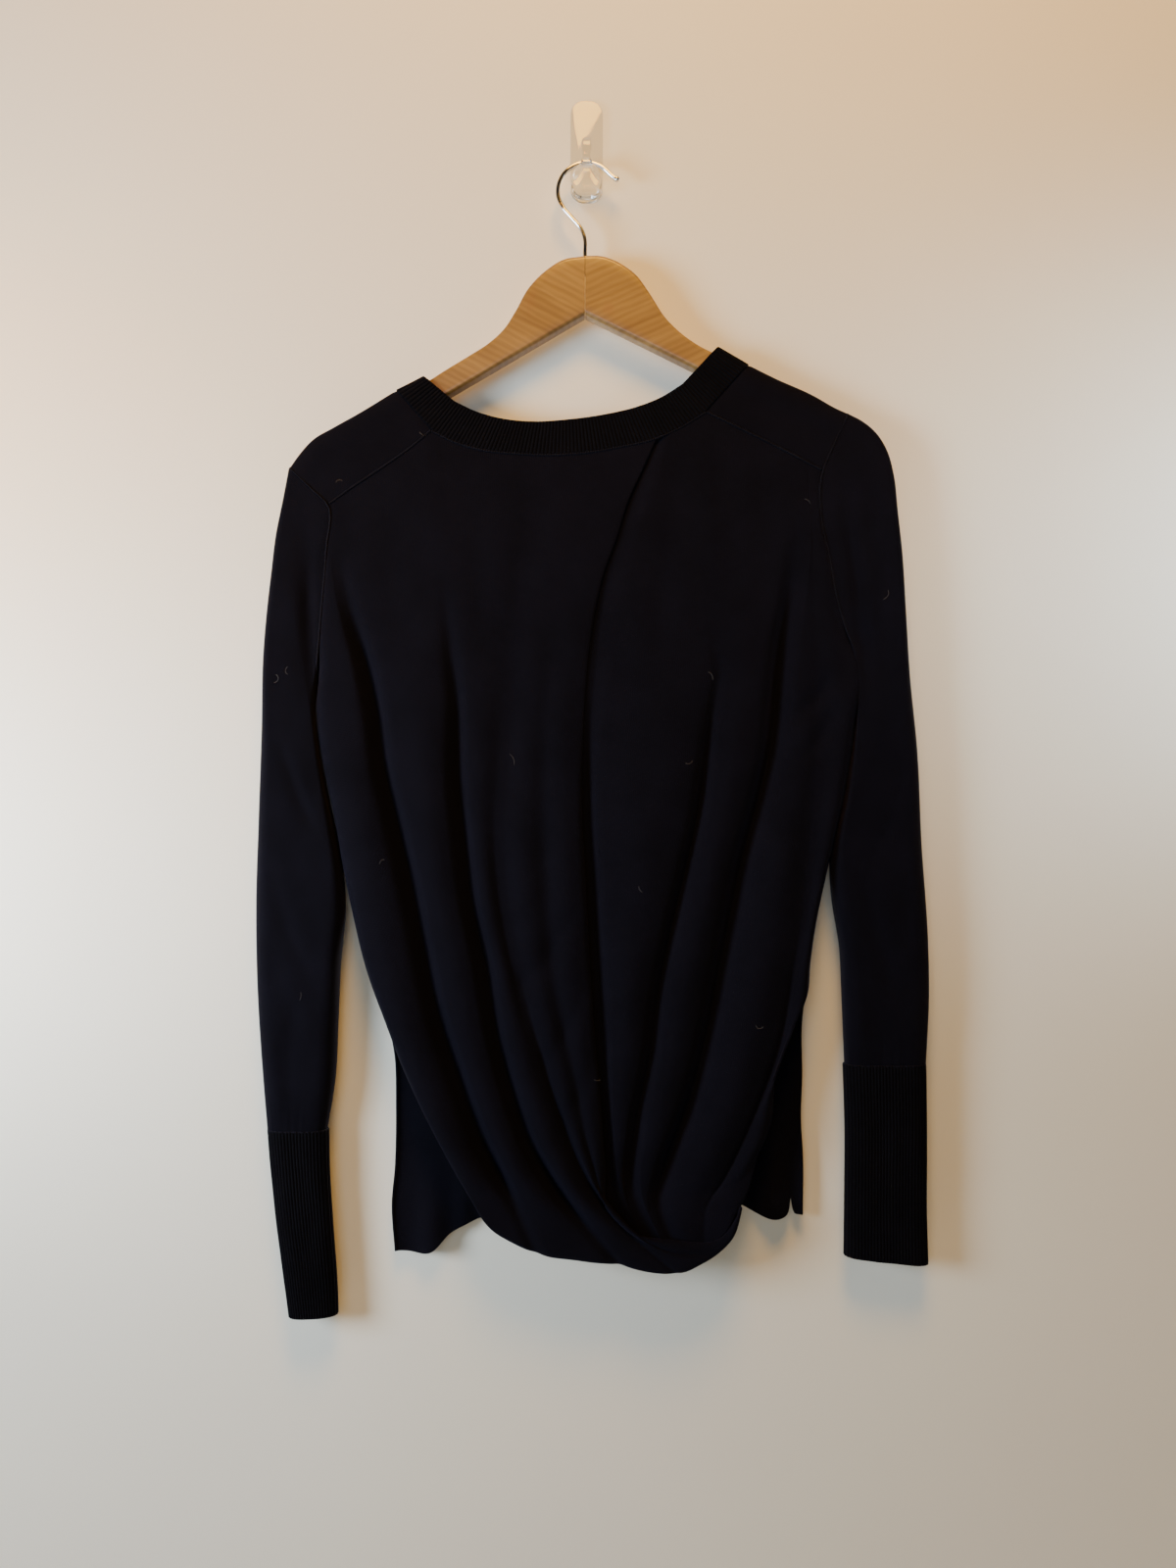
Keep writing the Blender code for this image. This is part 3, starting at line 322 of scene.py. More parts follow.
def grid_normals(grid: Array, closed: bool = False) -> Array:
    """Unit normals of a grid: the cross product of its steps across and down.

    Args:
        grid: rows by columns by 3.
        closed: True if the last column joins the first.

    Returns:
        One normal for each place.
    """
    if closed:
        across = np.roll(grid, -1, axis=1) - np.roll(grid, 1, axis=1)
    else:
        across = np.gradient(grid, axis=1)
    normal = np.cross(across, np.gradient(grid, axis=0))
    size = np.linalg.norm(normal, axis=2, keepdims=True)
    return normal / np.maximum(size, 1e-9)


def border_of(faces: Array) -> Array:
    """Directed edges that only one face has."""
    edges = np.stack([faces, np.roll(faces, -1, axis=1)], axis=-1).reshape(-1, 2)
    size = int(faces.max()) + 1
    forward = edges[:, 0].astype(np.int64) * size + edges[:, 1]
    backward = edges[:, 1].astype(np.int64) * size + edges[:, 0]
    return np.flatnonzero(~np.isin(forward, backward))


def volume_of(points: Array, faces: Array) -> float:
    """Signed volume inside closed quads, as the sum of tetrahedra from the origin."""
    a, b, c, d = (points[faces[:, k]] for k in range(4))
    return float((np.einsum("ij,ij->i", a, np.cross(b, c)) + np.einsum("ij,ij->i", a, np.cross(c, d))).sum() / 6)


def add_piece(name: str, points: Array, faces: Array, places: Array | None = None, degrees: float = 60.0,
              caps: Sequence[Array] = ()) -> Object:
    """Makes a closed mesh, faced outwards, as an object of the scene.

    Args:
        name: the piece's name.
        points: its points in millimetres.
        faces: four point numbers for each quad.
        places: the cloth place of each quad's corners, in millimetres, or None.
        degrees: edges sharper than this stay sharp.
        caps: point numbers of the flat faces that close its ends.

    Returns:
        The new object, at the origin.
    """
    if volume_of(points, faces) < 0:
        faces = faces[:, ::-1]
        caps = [cap[::-1] for cap in caps]
        places = None if places is None else places[:, ::-1]
    used = np.unique(faces)
    number = np.full(len(points), -1)
    number[used] = np.arange(len(used))
    mesh = bpy.data.meshes.new(name)
    polygons = number[faces].tolist() + [number[cap].tolist() for cap in caps]
    mesh.from_pydata(points[used] * MM, [], polygons)
    if places is not None:
        layer = mesh.uv_layers.new(name="cloth")
        layer.data.foreach_set("uv", places.astype(np.float32).ravel())
    mesh.shade_smooth()
    mesh.set_sharp_from_angle(angle=math.radians(degrees))
    mesh.update()
    obj = bpy.data.objects.new(name, mesh)
    bpy.context.scene.collection.objects.link(obj)
    return obj


def close_wall(name: str, outer: Array, inner: Array, middle: Array, closed: bool = False,
               keep: Array | None = None, degrees: float = 60.0) -> Object:
    """A cloth wall between two surfaces on the same grid, with its rim closed.

    Args:
        name: the piece's name.
        outer: places of one face, rows by columns by 3.
        inner: places of the other face.
        middle: places of the middle surface, which give the unrolled cloth.
        closed: True if the columns close to a tube.
        keep: which cells to keep, or None for all.
        degrees: edges sharper than this stay sharp.

    Returns:
        The new object.
    """
    rows, cols = middle.shape[:2]
    faces, corners = grid_faces(rows, cols, closed, keep)
    places = cloth_places(middle, closed).reshape(-1, 2)[corners]
    rim = border_of(faces)
    edge = np.stack([faces, np.roll(faces, -1, axis=1)], axis=-1).reshape(-1, 2)[rim]
    n = rows * cols
    rims = np.stack([edge[:, 1], edge[:, 0], edge[:, 0] + n, edge[:, 1] + n], axis=1)
    spot = np.stack([places, np.roll(places, -1, axis=1)], axis=2).reshape(-1, 2, 2)[rim]
    rim_places = np.stack([spot[:, 1], spot[:, 0], spot[:, 0], spot[:, 1]], axis=1)
    return add_piece(name, np.concatenate([outer.reshape(-1, 3), inner.reshape(-1, 3)]),
                     np.concatenate([faces, faces[:, ::-1] + n, rims]),
                     np.concatenate([places, places[:, ::-1], rim_places]), degrees)


def add_wall(name: str, middle: Array, thickness: Array, closed: bool = False,
             keep: Array | None = None) -> Object:
    """A cloth wall: the middle surface moved half the thickness each way along its normals.

    Args:
        name: the piece's name.
        middle: places of the middle surface, rows by columns by 3.
        thickness: wall thickness at each place.
        closed: True if the columns close to a tube.
        keep: which cells to keep, or None for all.

    Returns:
        The new object.
    """
    off = grid_normals(middle, closed) * (0.5 * thickness[..., None])
    return close_wall(name, middle + off, middle - off, middle, closed, keep)


def ends_of(rows: int, cols: int, first: int = 0) -> list[Array]:
    """Point numbers of the two flat faces that close a tube of rings numbered from the first."""
    ring = np.arange(cols) + first
    return [ring[::-1], ring + (rows - 1) * cols]


def add_rings(name: str, rings: Array, degrees: float = 60.0) -> Object:
    """A closed piece from rings in a row, with a flat face at both ends.

    Args:
        name: the piece's name.
        rings: rings by points by 3.
        degrees: edges sharper than this stay sharp.

    Returns:
        The new object.
    """
    rows, cols = rings.shape[:2]
    faces, _ = grid_faces(rows, cols, closed=True)
    return add_piece(name, rings.reshape(-1, 3), faces, degrees=degrees, caps=ends_of(rows, cols))


def edge_distances(middle: Array, sides: bool = False) -> list[Array]:
    """How far each place lies from the first and the last row, and with sides from both outer columns."""
    edges = [middle[:1], middle[-1:], *([middle[:, :1], middle[:, -1:]] if sides else [])]
    return [np.linalg.norm(middle - edge, axis=2) for edge in edges]


def edge_thickness(thickness: float, *distances: Array) -> Array:
    """Wall thickness that rounds off to a quarter of itself at its edges.

    Args:
        thickness: the full thickness.
        distances: how far each place lies from each edge.

    Returns:
        The thickness at each place.
    """
    out = np.full(distances[0].shape, thickness)
    for distance in distances:
        out = np.minimum(out, thickness * (0.25 + 0.75 * rounding(distance, EDGE_ROUND)))
    return out


def tube(path: Array, radii: Array, sides: int) -> Array:
    """Rings of a round tube along a path.

    The rings stand square to the path, turned by the fixed direction that lies least along it.

    Args:
        path: centre places.
        radii: the radius at each place.
        sides: points round a ring.

    Returns:
        Rings by points by 3.
    """
    run = np.gradient(path, axis=0)
    run /= np.linalg.norm(run, axis=1, keepdims=True)
    fixed = np.eye(3)[np.argmin(np.abs(run).mean(axis=0))]
    one = np.cross(run, fixed)
    one /= np.linalg.norm(one, axis=1, keepdims=True)
    two = np.cross(run, one)
    turn = np.linspace(0, 2 * math.pi, sides + 1)[:-1]
    ring = np.cos(turn)[None, :, None] * one[:, None] + np.sin(turn)[None, :, None] * two[:, None]
    return path[:, None] + ring * np.asarray(radii, float)[:, None, None]


# ---------------------------------------------------------------- body of the sweater

PLANE = -15.0  # depth of the wire, of the middle of the hanger and of the side seams
HUG = 8.1  # from that plane to the middle of a cloth wall beside the hanger
NEAR = PLANE - HUG
FAR = PLANE + HUG
CLOTH = 1.4
RIB_WALL = 1.5
SEAM = 0.5
EDGE_ROUND = 0.9  # how far in from a cloth edge the wall reaches its full thickness
SLEEVE_PLANE = -17.5  # depth of the middle of a sleeve and its cuff at the wrist
WRAP_ROWS = 600.0  # length that the rows of a wrap are counted on
OVER_ARM = ((5.0, HUG), (1.5, 6.9), (0.3, 4), (0, 0))  # drop below a shoulder ridge, depth beside it

RIDGE_LEFT: Route = ((-142.7, -189), (-171.5, -206.6), (-190, -216.9), (-203.9, -225),
                     (-214.2, -236), (-221.6, -246.3))
RIDGE_RIGHT: Route = ((121.6, -170.1), (140.7, -179.6), (168.6, -192.1), (187, -202.4), (195, -206))
YOKE_LEFT: Route = ((-115.6, -219.5), (-133.5, -234), (-152.1, -247), (-175.4, -262.5), (-191.9, -274.2))
YOKE_RIGHT: Route = ((89.4, -205.6), (118, -219.6), (147, -234), (175.2, -248.8))
NECK_NEAR: Route = ((-115.6, -219.5), (-101.8, -226.6), (-79.9, -233.6), (-51.4, -236.8), (-29.5, -237.7),
                    (-5.5, -236.6), (23, -232.2), (52.2, -225.3), (68.9, -218), (89.4, -205.6))
COLLAR_TOP_NEAR: Route = ((-98.1, -197.9), (-83.5, -204.9), (-64.6, -210.4), (-40.5, -212.9),
                          (-14.2, -211.4), (15, -207.3), (37.6, -201.9), (55.8, -194.7), (71.1, -185.2))
COLLAR_RIDGE_LEFT = (-121.5, -178.5)
COLLAR_RIDGE_RIGHT = (98.0, -156.5)
ARMHOLE_LEFT: Route = ((-221.6, -246.3), (-203.6, -263.4), (-191.9, -274.2), (-192.6, -307),
                       (-196, -351), (-200, -402))
ARMHOLE_RIGHT: Route = ((195, -206), (182, -233), (175.2, -248.8), (173.9, -283.2),
                        (179.5, -310), (185.4, -342.4), (194.9, -371.7), (206, -392))
SIDE_LEFT: Route = ((-200, -402), (-202, -424), (-197, -467.3), (-189.5, -502.7),
                    (-181, -549.2), (-175.5, -575), (-164.5, -620), (-148.5, -662.7))
SIDE_RIGHT: Route = ((206, -392), (200, -438.6), (190.5, -497.5), (180.2, -544), (171.5, -583.8),
                     (167, -613.3), (164, -639.1), (162, -672.3))


def over_arm(low: Sequence[float], ridge: Sequence[float], count: int) -> Array:
    """A line over a shoulder: up the near side, round the ridge and down the far side.

    Args:
        low: (x, z) place where the line starts and ends.
        ridge: (x, z) place of the ridge.
        count: how many points to give.

    Returns:
        Points from the near foot to the far one.
    """
    low, ridge = np.asarray(low, float), np.asarray(ridge, float)
    back = (low - ridge) / np.linalg.norm(low - ridge)
    half = [(*low, HUG), (*(0.5 * (low + ridge)), HUG)]
    half += [(*(ridge + back * drop), offset) for drop, offset in OVER_ARM]
    near = [(x, PLANE - offset, z) for x, z, offset in half]
    far = [(x, PLANE + offset, z) for x, z, offset in half[-2::-1]]
    return along(near + far, np.linspace(0.0, 1.0, count))


@dataclass(frozen=True)
class Guide:
    """A route down a wrap, with the trough that follows it.

    The trough has lips half its width away on both sides. It is set back by one depth at the
    top and by another further down: the change starts at the onset and is whole at a second
    share of the length.
    """

    half: float
    top: float
    full: float
    onset: float
    whole: float
    route: Route

    def lanes(self) -> list[tuple[float, float, float, float, Array]]:
        """Lip, bottom and lip of the trough, or the route alone where there is none."""
        route = np.asarray(self.route, float)
        bottom = (self.top, self.full, self.onset, self.whole, route)
        if not self.half:
            return [bottom]
        lips = [(0.0, -1.0, self.onset, self.whole, route + (side * self.half, 0.0)) for side in (-1, 1)]
        return [lips[0], bottom, lips[1]]


@dataclass(frozen=True)
class Cloth:
    """What all knitted panels share."""

    wall: float = CLOTH
    step: float = 2.5
    soften_down: int = 5
    soften_across: int = 2
    lobe: float = 5.0
    lobe_share: float = 0.14
    lobe_from: float = 0.1
    lobe_over: float = 0.42
    ripple: float = 0.5
    ripple_over: float = 0.12


@dataclass
class Wrap:
    """A back panel whose folds follow guides from the top seam to the bottom."""

    name: str
    guides: tuple[Guide, ...]
    top_line: Array
    bottom: Route
    depth: tuple
    side_depth: tuple
    side_column: int
    creases: tuple[Crease, ...]
    seed: float
    cloth: Cloth = field(default_factory=Cloth)
    side_round: float = 9.0
    settled: tuple[float, float] = (0.88, 0.08)
    flattened: float = 0.75
    top_fade: int = 6
    bottom_fade: int = 8

    def lanes(self) -> list[tuple[float, float, float, float, Array]]:
        """Every lip, bottom and plain guide, from one edge to the other."""
        return [lane for guide in self.guides for lane in guide.lanes()]

    def columns(self) -> Array:
        """Column places in lane units, about one step apart in the middle of the wrap's length."""
        lanes = self.lanes()
        shares = np.linspace(0.1, 0.9, 9)
        routes = [along(lane[4], shares) for lane in lanes]
        places = []
        for k in range(len(lanes) - 1):
            width = float(np.linalg.norm(routes[k + 1] - routes[k], axis=1).mean())
            first, last = k == 0, k == len(lanes) - 2
            if first or last:
                places.append(k + edged(width, self.cloth.step, first, last)[:-1])
            else:
                places.append(k + np.arange(0, 1, 1 / max(3, round(width / self.cloth.step))))
        return np.append(np.concatenate(places), len(lanes) - 1.0)

    def rows(self) -> Array:
        """Shares of the length for the rows."""
        return edged(WRAP_ROWS, self.cloth.step)

    def spread(self, rows: Array, columns: Array) -> tuple[Array, Array]:
        """Places on the wall and depths of the middle surface.

        Neighbouring lanes are joined straight across. The exact top and bottom lines fade in at
        the ends. The depth eases from lip to bottom, and half a sine wave of it stands out
        between two lanes as a lobe. Everything flattens where the folds settle.

        Args:
            rows: shares of the length.
            columns: places in lane units.

        Returns:
            A grid of (x, z) places and a grid of depths.
        """
        lanes = self.lanes()
        routes = np.stack([along(lane[4], rows) for lane in lanes], axis=1)
        k = np.clip(columns.astype(int), 0, len(lanes) - 2)
        t = columns - k
        grid = routes[:, k] * (1 - t)[:, None] + routes[:, k + 1] * t[:, None]
        pulls = ((0, self.top_line, (1 - rows) ** self.top_fade),
                 (-1, joined(self.bottom), rows**self.bottom_fade))
        for edge, line, weight in pulls:
            ends = np.stack([lane[4][edge] for lane in lanes])
            shares = np.maximum.accumulate(nearest_shares(line, ends))
            target = on_line(line, np.interp(columns, np.arange(len(lanes)), shares))
            straight = ends[k] * (1 - t)[:, None] + ends[k + 1] * t[:, None]
            grid = grid + weight[:, None, None] * (target - straight)
        back = np.stack([top + (full - top) * ease((rows - onset) / (whole - onset))
                         for top, full, onset, whole, _ in lanes], axis=1)
        soft = ease(t)
        set_back = back[:, k] * (1 - soft) + back[:, k + 1] * soft
        flat = 1.0 - self.flattened * ease((rows - self.settled[0]) / self.settled[1])[:, None]
        width = np.linalg.norm(routes[:, k + 1] - routes[:, k], axis=2)
        lobe = np.minimum(self.cloth.lobe, width * self.cloth.lobe_share)
        lobe = lobe * np.sin(np.pi * t) * ease((rows - self.cloth.lobe_from) / self.cloth.lobe_over)[:, None]
        uneven = self.cloth.ripple * swell(grid[..., 0], grid[..., 1], self.seed)
        uneven = uneven * ease(rows / self.cloth.ripple_over)[:, None]
        folds = flat * (set_back - lobe) + pressed(self.creases, grid[..., 0], grid[..., 1]) + uneven
        folds = soften(folds, self.cloth.soften_down, self.cloth.soften_across)
        return grid, column(self.depth, rows)[:, None] + folds

    def rounded(self, grid: Array, depth: Array, edge: int, edge_depth: Array, radius: float) -> Array:
        """Curves the columns near an edge back to the edge's own depth, over a quarter circle.

        Args:
            grid: (x, z) places.
            depth: depth of each place.
            edge: number of the edge's column.
            edge_depth: the edge's depth at each row.
            radius: how far in the curve reaches.

        Returns:
            The new depths.
        """
        distance = np.linalg.norm(grid - grid[:, edge][:, None], axis=2)
        return depth + (edge_depth[:, None] - depth) * (1 - rounding(distance, radius))

    def lowered(self, grid: Array, rows: Array) -> Array:
        """Leaves room for the seam above the top edge."""
        return grid - np.stack([np.zeros(len(rows)), SEAM * (1 - rows) ** self.top_fade], axis=1)[:, None]

    def surface(self) -> tuple[Array, Array]:
        """Middle surface and wall thickness."""
        rows, columns = self.rows(), self.columns()
        grid, depth = self.spread(rows, columns)
        depth = self.rounded(grid, depth, self.side_column, column(self.side_depth, rows), self.side_round)
        middle = with_depth(self.lowered(grid, rows), depth)
        return middle, self.thickness(middle)

    def thickness(self, middle: Array) -> Array:
        """Wall thickness, rounded off at all four edges."""
        return edge_thickness(self.cloth.wall, *edge_distances(middle, sides=True))


@dataclass
class OverWrap(Wrap):
    """The wrap that lies on top. Its cloth turns back up along the bottom as a loop."""

    loop_radius: float = 5.5
    turn_in: float = 1.0
    turn_over: float = 0.1
    edge_round: float = 3.0
    curl_from: float = 0.97
    above: tuple[float, ...] = (16, 13, 10.5, 8.5, 7, 5.7, 4.6, 3.6, 2.7, 1.9, 1.2, 0.65, 0.25, 0.05)
    behind: tuple[float, ...] = (18.5, 21.0, 22.5, 23.3, 23.9, 24.0)

    def surface(self) -> tuple[Array, Array]:
        """Middle surface and wall thickness: down the front, round the loop and up again behind it.

        Near the bottom the rows stand at the distances of above, and behind the loop at those
        of above and of behind.
        """
        close = np.array(self.above) / WRAP_ROWS
        front = edged(WRAP_ROWS, self.cloth.step, last=False)
        front = np.concatenate([front[front < 1 - close[0] * 1.1], 1 - close])
        back = 1 - np.concatenate([close[::-1], np.array(self.behind) / WRAP_ROWS])
        rows = np.concatenate([front, [1.0], back])
        turned = np.arange(len(rows)) > len(front)
        columns = self.columns()
        grid, depth = self.spread(rows, columns)
        depth = self.rounded(grid, depth, 0, column(self.side_depth, rows), self.side_round)
        free = column(self.depth, rows) + self.turn_in * ease(rows / self.turn_over)
        depth = self.rounded(grid, depth, -1, free, self.edge_round)
        distance = np.linalg.norm(grid - grid[len(front)], axis=2)
        curl = self.loop_radius * (1 - rounding(distance, self.loop_radius))
        behind = column(self.depth, rows)[:, None] + 2 * self.loop_radius - curl
        near_bottom = (rows > self.curl_from)[:, None]
        depth = np.where(turned[:, None], behind, np.where(near_bottom, depth + curl, depth))
        middle = with_depth(self.lowered(grid, rows), depth)
        return middle, self.thickness(middle)


OVER = OverWrap(
    name="back_over_wrap",
    guides=(
        Guide(0.0, 0.0, 0.0, 0.0, 0.2, ARMHOLE_LEFT[2:] + SIDE_LEFT[1:]
              + ((-131.5, -703), (-115, -735), (-98, -764.5), (-78.3, -796))),
        Guide(8.5, 0.0, 14.0, 0.05, 0.28,
              ((-182.9, -268), (-182, -320.6), (-174.2, -358.9), (-164.8, -392.3), (-156.8, -430.7),
               (-151.7, -467.6), (-143, -504.5), (-131.4, -553.8), (-122.8, -596.5), (-112.6, -645),
               (-96, -696.5), (-75.7, -748.6), (-58.3, -779.8), (-36.1, -825.6))),
        Guide(7.5, 0.0, 13.0, 0.15, 0.42,
              ((-115.6, -219.5), (-107, -309.4), (-102.2, -373), (-97.2, -419.2), (-95.7, -482.1),
               (-91.4, -524.7), (-85.6, -570.2), (-75.5, -616.5), (-66.8, -667.8), (-55.3, -710.4),
               (-41.5, -748), (-24.2, -776.2), (-1.1, -805.1), (24.7, -834.2))),
        Guide(4.0, 0.0, 4.5, 0.55, 0.80,
              ((-49.4, -237), (-58, -410.7), (-62, -559.2), (-49.4, -624.8), (-32.8, -684.6),
               (-18.4, -730), (1.1, -774.7), (33, -812), (66, -840))),
        Guide(0.0, 0.0, 0.0, 0.0, 0.75,
              ((0, -236), (-28, -400), (-30, -560), (-22, -640), (-9, -700),
               (4, -760), (20, -800), (60, -824), (97.7, -824.2))),
        Guide(0.0, 0.0, 0.0, 0.0, 0.2,
              ((52.2, -225.3), (42.1, -247.7), (31.3, -271.4), (22, -300.9), (13.3, -324.6),
               (6.9, -350.5), (2.5, -377.8), (-0.3, -408.7), (-3.2, -461.9), (-3.9, -496.5),
               (-1.1, -553.3), (1.8, -610.1), (5.4, -666.9), (10.4, -723.7), (13.3, -763.3),
               (17.5, -800), (32.7, -811.5), (60.8, -816), (98.2, -814), (113.5, -792.7))),
    ),
    top_line=joined(YOKE_LEFT[::-1], NECK_NEAR),
    bottom=((-78.3, -796), (-69, -807.7), (-53.3, -817.7), (-36.1, -825.6), (-3.2, -830.6),
            (24.7, -834.2), (42.6, -838), (61.2, -840), (70.5, -839.2), (82.7, -833.5),
            (97.7, -824.2), (107, -813.4), (113.5, -792.7)),
    depth=((0.0, NEAR), (0.12, -26), (0.5, -30.5), (0.8, -35), (0.92, -41), (1, -43)),
    side_depth=((0.0, NEAR), (0.19, NEAR), (0.24, -15.3), (0.70, -15.3), (0.76, -22), (1, -34)),
    side_column=0,
    creases=(
        Crease(((-58, -640), (-30, -612), (-9, -575)), 6.0, 2.6),
        Crease(((-40, -700), (-16, -668), (0, -628)), 5.0, 2.4),
        Crease(((-22, -745), (-4, -712), (8, -678)), 4.5, 2.0),
        Crease(((-48, -668), (-24, -636), (-4, -600)), 4.0, -1.2),
        Crease(((-30, -245), (-48, -330), (-52, -420), (-50, -500)), 12.0, 1.3),
        Crease(((-150, -262), (-144, -320), (-132, -392)), 11.0, 1.5),
        Crease(((-85, -250), (-80, -330), (-76, -430)), 9.0, 1.1),
    ),
    seed=1.3,
)

UNDER = Wrap(
    name="back_under_wrap",
    guides=(
        Guide(0.0, 2.4, 11.5, 0.28, 0.55,
              ((14, -234), (-12, -400), (-34, -560), (-48, -630), (-52, -690),
               (-48, -737), (-30, -776), (-6, -799), (22, -811))),
        Guide(0.0, 2.4, 9.5, 0.28, 0.55,
              ((53.2, -225), (28, -300), (13, -350), (7, -400), (2, -462), (1, -500),
               (4, -560), (7, -620), (11, -680), (15, -740), (20, -790),
               (34.0, -819.0))),
        Guide(0.0, -0.2, -0.6, 0.28, 0.55,
              ((62, -221.5), (40, -290), (26, -350), (19, -405), (10, -467),
               (10, -525), (13, -571), (16, -611), (18, -668), (20.5, -739),
               (27, -790), (42, -822))),
        Guide(6.5, 0.0, 12.0, 0.24, 0.48,
              ((89.4, -205.6), (96, -382), (98.2, -401.7), (94.5, -421.2), (90.2, -452.4),
               (84.4, -496.6), (73.5, -548), (61.9, -596.5), (53.2, -639.2), (47.5, -682.7),
               (37, -735), (34, -785), (52, -823.5))),
        Guide(11.5, 0.0, 15.0, 0.06, 0.32,
              ((152, -236.8), (157, -297), (155, -315), (151, -344), (146.5, -373),
               (142.5, -412), (138, -453.1), (127.9, -496.6), (116.3, -539.3), (107.6, -582),
               (98.9, -625.5), (90.2, -668.2), (76, -722), (60, -765), (54, -790),
               (66.0, -825.0))),
        Guide(3.5, 0.0, 2.5, 0.5, 0.80,
              ((167, -244.9), (172, -330), (176, -420), (168, -520), (155, -610),
               (140.9, -681.8), (121.5, -732.9), (101.3, -775.5), (88, -797), (86, -823))),
        Guide(0.0, 0.0, 0.0, 0.0, 0.2, ARMHOLE_RIGHT[2:] + SIDE_RIGHT[1:7]
              + ((154.5, -657.5), (141, -690.9), (135, -737.5), (126.3, -757.9), (119.7, -780),
                 (114, -792), (108, -803))),
    ),
    top_line=joined(NECK_NEAR, YOKE_RIGHT),
    bottom=((22, -811), (34, -818.5), (52, -823.5), (70, -825.5), (86, -823),
            (98, -815.5), (108, -803)),
    depth=((0.0, NEAR), (0.12, -25.5), (0.5, -29), (0.8, -30.5), (0.93, -30), (0.97, -33.5), (1, -36.5)),
    side_depth=((0.0, NEAR), (0.20, NEAR), (0.26, -15.3), (0.64, -15.3), (0.72, -22), (1, -34)),
    side_column=-1,
    creases=(
        Crease(((100, -226), (108, -300), (114, -370)), 10.0, 1.4),
        Crease(((70, -240), (58, -330), (50, -430)), 9.0, 1.2),
        Crease(((128, -236), (132, -300), (128, -380)), 8.0, 1.2),
        Crease(((184, -340), (194, -374), (196, -412)), 8.0, 4.5),
        Crease(((186, -398), (170, -420), (150, -436)), 5.0, 2.6),
        Crease(((190, -420), (172, -450), (150, -472)), 5.0, 2.0),
    ),
    seed=4.1,
)


@dataclass(frozen=True)
class Flute:
    """A pleat that opens towards the hem: centre, apex, half-width and how far it stands out."""

    centre: float
    apex: float
    half: float
    rise: float
    run: float = 70.0

    def lift(self, x: Array, z: Array) -> Array:
        """How far the cloth comes forward: half a cosine across, grown softly below the apex."""
        lean = np.clip((x - self.centre) / self.half, -1, 1)
        return self.rise * ease((self.apex - z) / self.run) * 0.5 * (1 + np.cos(np.pi * lean))


@dataclass(frozen=True)
class Neckline:
    """The opening for the neck: near seam and top edge, and the deep front neckline beyond."""

    height: float = 25.0
    from_left: Route = ((16, -22), (52, -43), (96.5, -53))
    from_right: Route = ((-52, -51), (-15, -20))

    def front(self, count: int) -> Array:
        """(x, z) places along the front neckline, from left to right."""
        left, right = np.asarray(YOKE_LEFT[0]), np.asarray(YOKE_RIGHT[0])
        places = [left, *(left + step for step in self.from_left),
                  *(right + step for step in self.from_right), right]
        return along(places, np.linspace(0.0, 1.0, count))

    def seam(self) -> list[Array]:
        """The neck seam as near edge, right shoulder, front and left shoulder."""
        return [with_depth(along(NECK_NEAR, np.linspace(0, 1, 121)), NEAR),
                over_arm(YOKE_RIGHT[0], RIDGE_RIGHT[0], 61),
                with_depth(self.front(97), FAR)[::-1],
                over_arm(YOKE_LEFT[0], RIDGE_LEFT[0], 61)[::-1]]

    def top(self) -> list[Array]:
        """The collar's top edge in the same four stretches.

        Its front edge is the front neckline, moved as the shoulders' ends move, and up by the
        collar's height in the middle.
        """
        low_left, low_right = np.asarray(COLLAR_TOP_NEAR[0]), np.asarray(COLLAR_TOP_NEAR[-1])
        rise = np.linspace(0, 1, 97)[:, None]
        shift = (low_left - YOKE_LEFT[0]) * (1 - rise) + (low_right - YOKE_RIGHT[0]) * rise
        middle = np.sin(np.pi * rise)
        shift = shift * (1 - middle) + np.array([0.0, self.height]) * middle
        return [with_depth(along(COLLAR_TOP_NEAR, np.linspace(0, 1, 121)), NEAR - 0.6),
                over_arm(low_right, COLLAR_RIDGE_RIGHT, 61),
                with_depth(self.front(97) + shift, FAR + 0.6)[::-1],
                over_arm(low_left, COLLAR_RIDGE_LEFT, 61)[::-1]]


NECK = Neckline()


